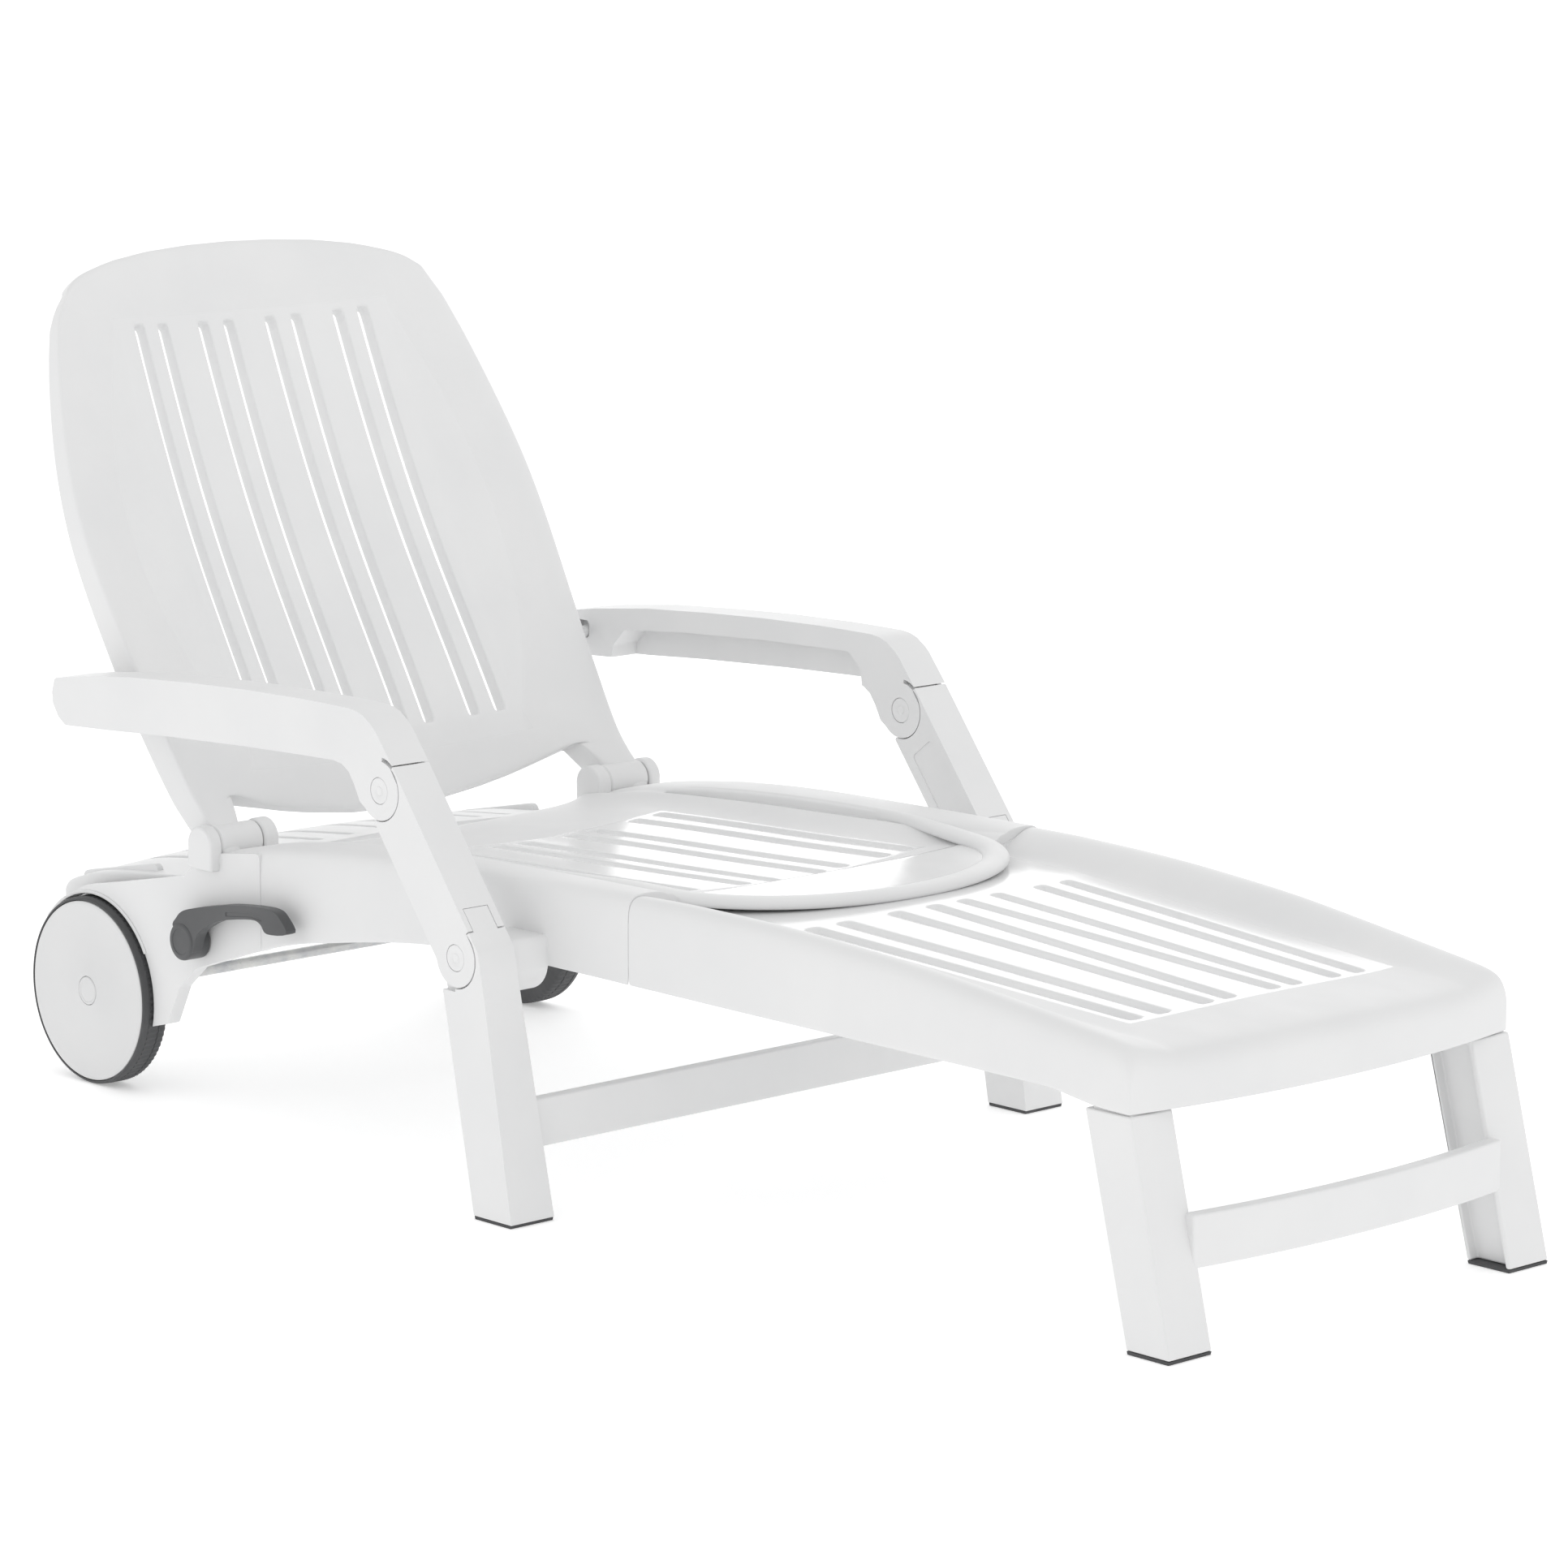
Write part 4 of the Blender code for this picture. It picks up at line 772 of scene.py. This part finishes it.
def front_leg(tag, s):
    """Tapered front leg, hollow on its inner face, and the tab that plugs into the leg rest."""
    leg = piece("front_leg_" + tag, tapered(((s * 0.1932, s * 0.2463), (0.0002, 0.0506), LEG_Z),
                                            ((s * 0.1929, s * 0.2441), (0.0499, 0.1041), 0.2051)),
                WHITE, "frame")
    joined(leg, [tapered(((s * 0.1880, s * 0.2040), (0.0050, 0.0460), FOOT_H - 0.001),
                         ((s * 0.1880, s * 0.2040), (0.0547, 0.0995), 0.2001))])
    soften(leg, 0.0022)
    tab = piece("front_leg_tab_" + tag, tapered(((s * 0.196, s * 0.241), (0.0508, 0.094), 0.200),
                                                ((s * 0.196, s * 0.240), (0.0565, 0.100), 0.214)),
                WHITE, "frame")
    soften(tab, 0.001)


def mid_leg(tag, s):
    """Middle leg: a tapered foot, the shoulder that carries the link and the tongue inside its fork."""
    leg = piece("mid_leg_" + tag, tapered(((s * 0.3080, s * 0.3596), (0.7225, 0.7762), LEG_Z),
                                          ((s * ARM_IN, s * ARM_OUT), (0.7612, 0.8203), 0.2100)),
                WHITE, "frame")
    shoulder = [(0.7610, 0.2085), (0.8203, 0.2065), (0.8205, 0.2086), (0.8025, 0.2086), (0.8025, 0.25),
                sn(0.0090, 0.018, LOW), sn(0.0090, 0.0314, LOW), sn(-0.012, 0.0316, LOW)]
    clear = prism(circle(LOW, EYE_CLEAR, 40), *span(s, *ACROSS))
    joined(leg, [prism(shoulder, *span(s, ARM_IN, ARM_OUT))], "UNION")
    joined(leg, [tapered(((s * 0.3140, s * 0.3540), (0.7285, 0.7702), FOOT_H - 0.001),
                         ((s * 0.3200, s * 0.3520), (0.7600, 0.8060), 0.1800)), clear])
    tongue = [(0.7620, 0.2070), (0.8200, 0.2055)] + circle(LOW, 0.0265, 24, -20, 52.4, False) \
        + [sn(0.0265, 0.003, LOW), sn(0.0335, 0.003, LOW), sn(0.0335, 0.0312, LOW), sn(-0.012, 0.0314, LOW)]
    joined(leg, [prism(tongue, *span(s, TNG_IN, TNG_OUT))], "UNION")
    joined(leg, [bore(LOW, s)])
    soften(leg, 0.0018)


bar = piece("front_cross_bar", bowed(0.1990, 0.0180, 0.016, 0.0720, 0.1190, 0.014), WHITE,
            "frame")
joined(bar, [bowed(0.185, 0.0225, 0.016, 0.0780, 0.1130, 0.014)])
soften(bar, 0.0022)
hide(bar, "front_leg_frame")
for tag, s in SIDES:
    front_leg(tag, s)

mid = piece("mid_cross_bar", tapered(((-0.316, 0.316), (0.7470, 0.7610), 0.0640),
                                     ((-0.316, 0.316), (0.7480, 0.7600), 0.1100)),
            WHITE, "frame")
joined(mid, [tapered(((-0.300, 0.300), (0.7500, 0.7700), 0.0695),
                     ((-0.300, 0.300), (0.7500, 0.7700), 0.1045))])
soften(mid, 0.0022)
hide(mid, "mid_leg_frame")
for tag, s in SIDES:
    mid_leg(tag, s)


def foot(name, x0, x1, y0, y1):
    """Rubber pad with a stepped edge and grip grooves underneath."""
    bm = tapered(((x0, x1), (y0 + 0.0010, y1 - 0.0010), 0.0), ((x0, x1), (y0, y1), FOOT_H))
    ob = piece(name, bm, PAD, "frame")
    grooves = []
    for k in range(1, 6):
        x = min(x0, x1) + abs(x1 - x0) * k / 6
        grooves.append(tapered(((x - 0.0012, x + 0.0012), (y0 + 0.006, y1 - 0.006), -0.001),
                               ((x - 0.0007, x + 0.0007), (y0 + 0.006, y1 - 0.006), 0.0012)))
    joined(ob, grooves)
    return hide(soften(ob, 0.0005, 2), name)


for tag, s in SIDES:
    foot("foot_pad_front_" + tag, s * 0.1936, s * 0.2459, 0.0004, 0.0502)
    foot("foot_pad_mid_" + tag, s * 0.3084, s * 0.3594, 0.7229, 0.7758)

# ---------------------------------------------------------------- arm links, armrests and their pins
LINK_DEG = math.degrees(LINK_A)


def arm_link(tag, s):
    """Upright between leg and armrest: a fork below, an eye on top and a shallow step on its inner face."""
    end = LINK_L
    poly = [sn(0.0105, 0.0275, LOW), sn(0.0105, 0.0314, LOW), sn(end + 0.0073, 0.0314, LOW),
            sn(end + 0.0065, 0.0280, LOW), sn(end, 0.010, LOW), sn(end - 0.020, -0.0245, LOW),
            sn(0.0140, -0.0245, LOW)]
    poly += circle(LOW, 0.0275, 32, LINK_DEG - 63.0, LINK_DEG - 270.0, False)
    fork = [sn(-0.05, -0.06, LOW), sn(0.0340, -0.06, LOW), sn(0.0340, 0.06, LOW), sn(-0.05, 0.06, LOW)]
    step = rounded([sn(0.052, -0.0130, LOW), sn(0.052, 0.0200, LOW), sn(end - 0.046, 0.0200, LOW),
                    sn(end - 0.046, -0.0130, LOW)], 0.005)
    link = piece("arm_link_body_" + tag, prism(poly, *span(s, ARM_IN, ARM_OUT)), WHITE,
                 "link_" + tag)
    beside = ((ACROSS[0], TNG_IN), (TNG_OUT, ACROSS[1]))
    joined(link, [prism(circle(UP, EYE_CLEAR, 48), *span(s, lo, hi)) for lo, hi in beside])
    joined(link, [prism(circle(UP, 0.0265, 48), *span(s, TNG_IN, TNG_OUT))], "UNION")
    joined(link, [prism(fork, *span(s, SLOT_IN, SLOT_OUT)), bore(LOW, s), bore(UP, s),
                  prism(circle(LOW, HEAD_R, 40), *span(s, ARM_OUT - 0.0030, ACROSS[1])),
                  prism(step, *span(s, ACROSS[0], ARM_IN + 0.0010))])
    hide(soften(link, 0.0016), "arm_link_" + tag)


def armrest(tag, s):
    """Armrest: its beam, the fork over the link, the hollow hand grip and the slot for the back's stud."""
    top = [(0.9080, 0.4300), (0.9140, 0.4375), (0.9200, 0.4430), (0.9320, 0.4510), (0.9420, 0.4545),
           (0.9540, 0.4562), (0.9900, 0.4566), (1.0300, 0.4565), (1.1150, 0.4548), (1.2000, 0.4510),
           (1.2970, 0.4450), (1.3800, 0.4360), (1.4231, 0.4297), (1.4280, 0.4150), (1.4270, 0.4040),
           (1.4180, 0.3910), (1.4068, 0.3840), (1.3300, 0.3880), (1.2456, 0.3935), (1.1164, 0.3997),
           (1.0200, 0.4030), (0.9790, 0.4040), (0.9660, 0.4020), (0.9560, 0.3960), (0.9480, 0.3850),
           (0.9400, 0.3700)]                          # outline of the beam and its nose
    poly = top + circle(UP, 0.0280, 30, -42.0, -42.0 - 159.0, False) \
        + [sn(0.0077, 0.0272, UP), sn(0.0077, 0.0316, UP)]
    slot = circle(UP, 0.0290, 40, LINK_DEG + 76.0, LINK_DEG - 112.0, False) \
        + [sn(-0.0500, -0.0480, UP), sn(-0.0600, 0.0500, UP), sn(0.0077, 0.0500, UP), sn(0.0077, 0.0300, UP)]
    relief = circle(UP, 0.0326, 12, LINK_DEG + 46.0, LINK_DEG + 76.6, False) \
        + circle(UP, 0.0284, 16, LINK_DEG + 110.0, LINK_DEG + 46.0, False)
    grip = rounded([(1.3560, 0.3600), (1.3517, 0.3996), (1.3320, 0.4184), (1.2400, 0.4260), (1.1200, 0.4320),
                    (0.9877, 0.4350), (0.9696, 0.4189), (0.9620, 0.3600)], 0.009, 8)
    stud_slot = rounded([(STUD[0] - 0.0070, STUD[1] - 0.0070), (STUD[0] + 0.0255, STUD[1] - 0.0070),
                         (STUD[0] + 0.0255, STUD[1] + 0.0120), (STUD[0] - 0.0070, STUD[1] + 0.0120)], 0.006)
    arm = piece("armrest_body_" + tag, prism(rounded(poly, 0.006), *span(s, ARM_IN, ARM_OUT)), WHITE,
                "arm_" + tag)
    heads = ((ACROSS[0], ARM_IN + 0.0030), (ARM_OUT - 0.0030, ACROSS[1]))
    joined(arm, [prism(slot, *span(s, SLOT_IN, SLOT_OUT)), prism(relief, *span(s, *ACROSS)),
                 prism(grip, *span(s, 0.30, 0.3480)), prism(stud_slot, *span(s, 0.30, 0.3340)), bore(UP, s)]
           + [prism(circle(UP, HEAD_R, 40), *span(s, lo, hi)) for lo, hi in heads])
    hide(soften(arm, 0.0024), "armrest_" + tag)


def arm_pins(tag, s):
    """Upper and lower pin with their dished heads, and the stud that ties the back to the armrest."""
    def pin(name, profile, c, body):
        hide(lathe(name, profile, c, s, body, WHITE, 64), name)

    a, b = ARM_IN + 0.0002, ARM_OUT
    outer_head = [(b - 0.0027, 0.0060), (b - 0.0027, 0.0125), (b - 0.0006, 0.0125), (b, 0.0119), (b, 0.0050),
                  (b - 0.0004, 0.0044), (b, 0.0040), (b, 0.0)]
    inner_head = [(a, 0.0), (a, 0.0040), (a + 0.0004, 0.0044), (a, 0.0050), (a, 0.0119), (a + 0.0006, 0.0125),
                  (a + 0.0025, 0.0125), (a + 0.0025, 0.0060)]
    inner_end = [(0.2645, 0.0), (0.2645, 0.0055), (0.2650, 0.0060)]
    stud = [(0.2900, 0.0), (0.2900, 0.0060), (0.3322, 0.0060), (0.3330, 0.0052), (0.3330, 0.0)]
    pin("upper_arm_pin_" + tag, inner_head + outer_head, UP, "link_" + tag)
    pin("lower_arm_pin_" + tag, inner_end + outer_head, LOW, "frame")
    pin("armrest_stud_" + tag, stud, STUD, "back")


for tag, s in SIDES:
    arm_link(tag, s)
    armrest(tag, s)
    arm_pins(tag, s)

# ---------------------------------------------------------------- wheels
RIBS = 180                # the tyre has two points for each; every other pair of points is sunk


def tread(k, i):
    """Grooves of the tread, on the running face only."""
    return -0.0008 if 2 <= i <= 9 and k % 4 < 2 else 0.0


def wheel(tag, s):
    """Ribbed tyre, closed hub disc and cap."""
    body = "wheel_" + tag
    tyre = [(0.2640, 0.0606), (0.2640, 0.0925), (0.2652, 0.0946), (0.2672, 0.0957), (0.2712, 0.0962),
            (0.2740, 0.0962), (0.2742, 0.0955), (0.2752, 0.0955), (0.2754, 0.0962), (0.2872, 0.0962),
            (0.2874, 0.0955), (0.2884, 0.0955), (0.2886, 0.0961), (0.2932, 0.0957), (0.2950, 0.0944),
            (0.2950, 0.0927), (0.2905, 0.0927), (0.2905, 0.0606), (0.2640, 0.0606)]
    hide(lathe("wheel_tyre_" + tag, tyre, WHEEL, s, body, TREAD, 2 * RIBS, tread),
         "wheel_tyre_" + tag)
    hub = [(0.2655, 0.0064), (0.2655, 0.0205), (0.2662, 0.0215), (0.2675, 0.0240), (0.2690, 0.0560),
           (0.2676, 0.0590), (0.2676, 0.0603), (0.2907, 0.0603), (0.2907, 0.0915), (0.2912, 0.0920),
           (0.2938, 0.0920), (0.2948, 0.0917), (0.2953, 0.0910), (0.2953, 0.0870), (0.2950, 0.0850),
           (0.2950, 0.0175), (0.2954, 0.0165), (0.2954, 0.0152), (0.2950, 0.0149), (0.2917, 0.0149),
           (0.2917, 0.0064), (0.2655, 0.0064)]
    hide(lathe("wheel_hub_" + tag, hub, WHEEL, s, body, HUB, 160), "wheel_hub_" + tag)
    cap = [(0.2920, 0.0), (0.2920, 0.0144), (0.2950, 0.0144), (0.2958, 0.0138), (0.2961, 0.0128),
           (0.2958, 0.0118), (0.2953, 0.0112), (0.2955, 0.0080), (0.2957, 0.0)]
    hide(lathe("wheel_cap_" + tag, cap, WHEEL, s, body, HUB, 96), "wheel_cap_" + tag)


for tag, s in SIDES:
    wheel(tag, s)

# ---------------------------------------------------------------- recline levers
# Control points of the curved handle.
HANDLE = [(1.3010, 0.1880), (1.2960, 0.1990), (1.2850, 0.2075), (1.2620, 0.2140), (1.2350, 0.2195),
          (1.2085, 0.2245), (1.1700, 0.2285), (1.1420, 0.2290), (1.1290, 0.2230), (1.1190, 0.2090),
          (1.1500, 0.2045), (1.1600, 0.2125), (1.1750, 0.2150), (1.2200, 0.2075), (1.2450, 0.1980),
          (1.2620, 0.1860), (1.2750, 0.1650)]


def spline(points, n=6):
    """Closed smooth curve through the points."""
    out, m = [], len(points)
    for i in range(m):
        p = [Vector(points[(i + k - 1) % m]) for k in range(4)]
        for k in range(n):
            t = k / n
            out.append(tuple(0.5 * (2 * p[1] + (p[2] - p[0]) * t
                                    + (2 * p[0] - 5 * p[1] + 4 * p[2] - p[3]) * t ** 2
                                    + (3 * p[1] - p[0] - 3 * p[2] + p[3]) * t ** 3)))
    return out


def lever(tag, s):
    """Curved handle with a shallow groove, and the round knob over the shaft."""
    grip = piece("recline_handle_" + tag, prism(spline(HANDLE, 4), *span(s, 0.2965, 0.3083)), GREY,
                 "lever")
    groove = [(1.1550, 0.2185), (1.1750, 0.2215), (1.2150, 0.2165), (1.2150, 0.2125), (1.1750, 0.2175),
              (1.1580, 0.2160)]
    joined(grip, [prism(groove, *span(s, 0.3077, 0.3100))])
    soften(grip, 0.0030, 4)
    knob = [(0.2860, 0.0049), (0.2860, 0.0178), (0.2868, 0.0187), (0.2880, 0.0190), (0.3068, 0.0190),
            (0.3084, 0.0185), (0.3093, 0.0172), (0.3095, 0.0150), (0.3095, 0.0135), (0.3089, 0.0128),
            (0.3089, 0.0)]
    hide(lathe("recline_knob_" + tag, knob, KNOB, s, "lever", GREY, 72), "recline_lever_" + tag)


for tag, s in SIDES:
    lever(tag, s)

# ---------------------------------------------------------------- steel parts keep their CAD shape
for name, ob in frame["nodes"].items():
    if name.startswith(("wheel_axle", "back_hinge_pin", "recline_pawl", "recline_quadrant", "lever_shaft")):
        for k in range(len(ob.material_slots)):
            ob.material_slots[k].material = ZINC

# ---------------------------------------------------------------- floor, light and camera
def studio_floor(size=30.0):
    """Wide white floor that glows a little, so that it melts into the background as in the photo."""
    bm = bmesh.new()
    bmesh.ops.create_grid(bm, x_segments=8, y_segments=8, size=size)
    me = bpy.data.meshes.new("floor")
    bm.to_mesh(me)
    bm.free()
    ob = bpy.data.objects.new("floor", me)
    bpy.context.scene.collection.objects.link(ob)
    m, nt, b = shader("studio_floor")
    white = spread(nt, noise(nt, 1.2, 3.0), (0.93, 0.93, 0.93), (0.96, 0.96, 0.96))
    nt.links.new(white, b.inputs["Base Color"])
    b.inputs["Roughness"].default_value = 0.9
    b.inputs["Emission Color"].default_value = (1.0, 1.0, 1.0, 1.0)
    b.inputs["Emission Strength"].default_value = 0.30
    me.materials.append(m)


studio_floor()

world = bpy.data.worlds.new("studio")
bpy.context.scene.world = world
world.use_nodes = True
sky = world.node_tree.nodes["Background"]
sky.inputs["Color"].default_value = (1.0, 1.0, 1.0, 1.0)
sky.inputs["Strength"].default_value = 0.90


def lamp(name, at, aim, size, power):
    """Square or oblong area light pointed at a place."""
    data = bpy.data.lights.new(name, "AREA")
    data.shape = "RECTANGLE"
    data.size, data.size_y = size
    data.energy = power
    ob = bpy.data.objects.new(name, data)
    bpy.context.scene.collection.objects.link(ob)
    ob.location = at
    ob.rotation_euler = (Vector(aim) - Vector(at)).to_track_quat("-Z", "Y").to_euler()


lamp("key", (1.6, -1.0, 3.0), (0, 0, 0.3), (2.4, 2.4), 5)
lamp("fill", (-3.2, 1.6, 2.2), (0, 0, 0.3), (2.0, 2.0), 2)
lamp("backdrop", (3.4, 3.7, 1.5), (0, 0, 0.3), (7.0, 2.2), 62)

cam_data = bpy.data.cameras.new("camera")
cam_data.sensor_width = 36.0
cam_data.lens = 132.4
cam = bpy.data.objects.new("camera", cam_data)
bpy.context.scene.collection.objects.link(cam)
cam.location = (-3.6559, Y0 - 3.2183, 1.3377)
cam.rotation_euler = (math.radians(90.0 - 10.19), 0.0, math.radians(-42.70))
bpy.context.scene.camera = cam
bpy.context.scene.view_settings.view_transform = "Standard"
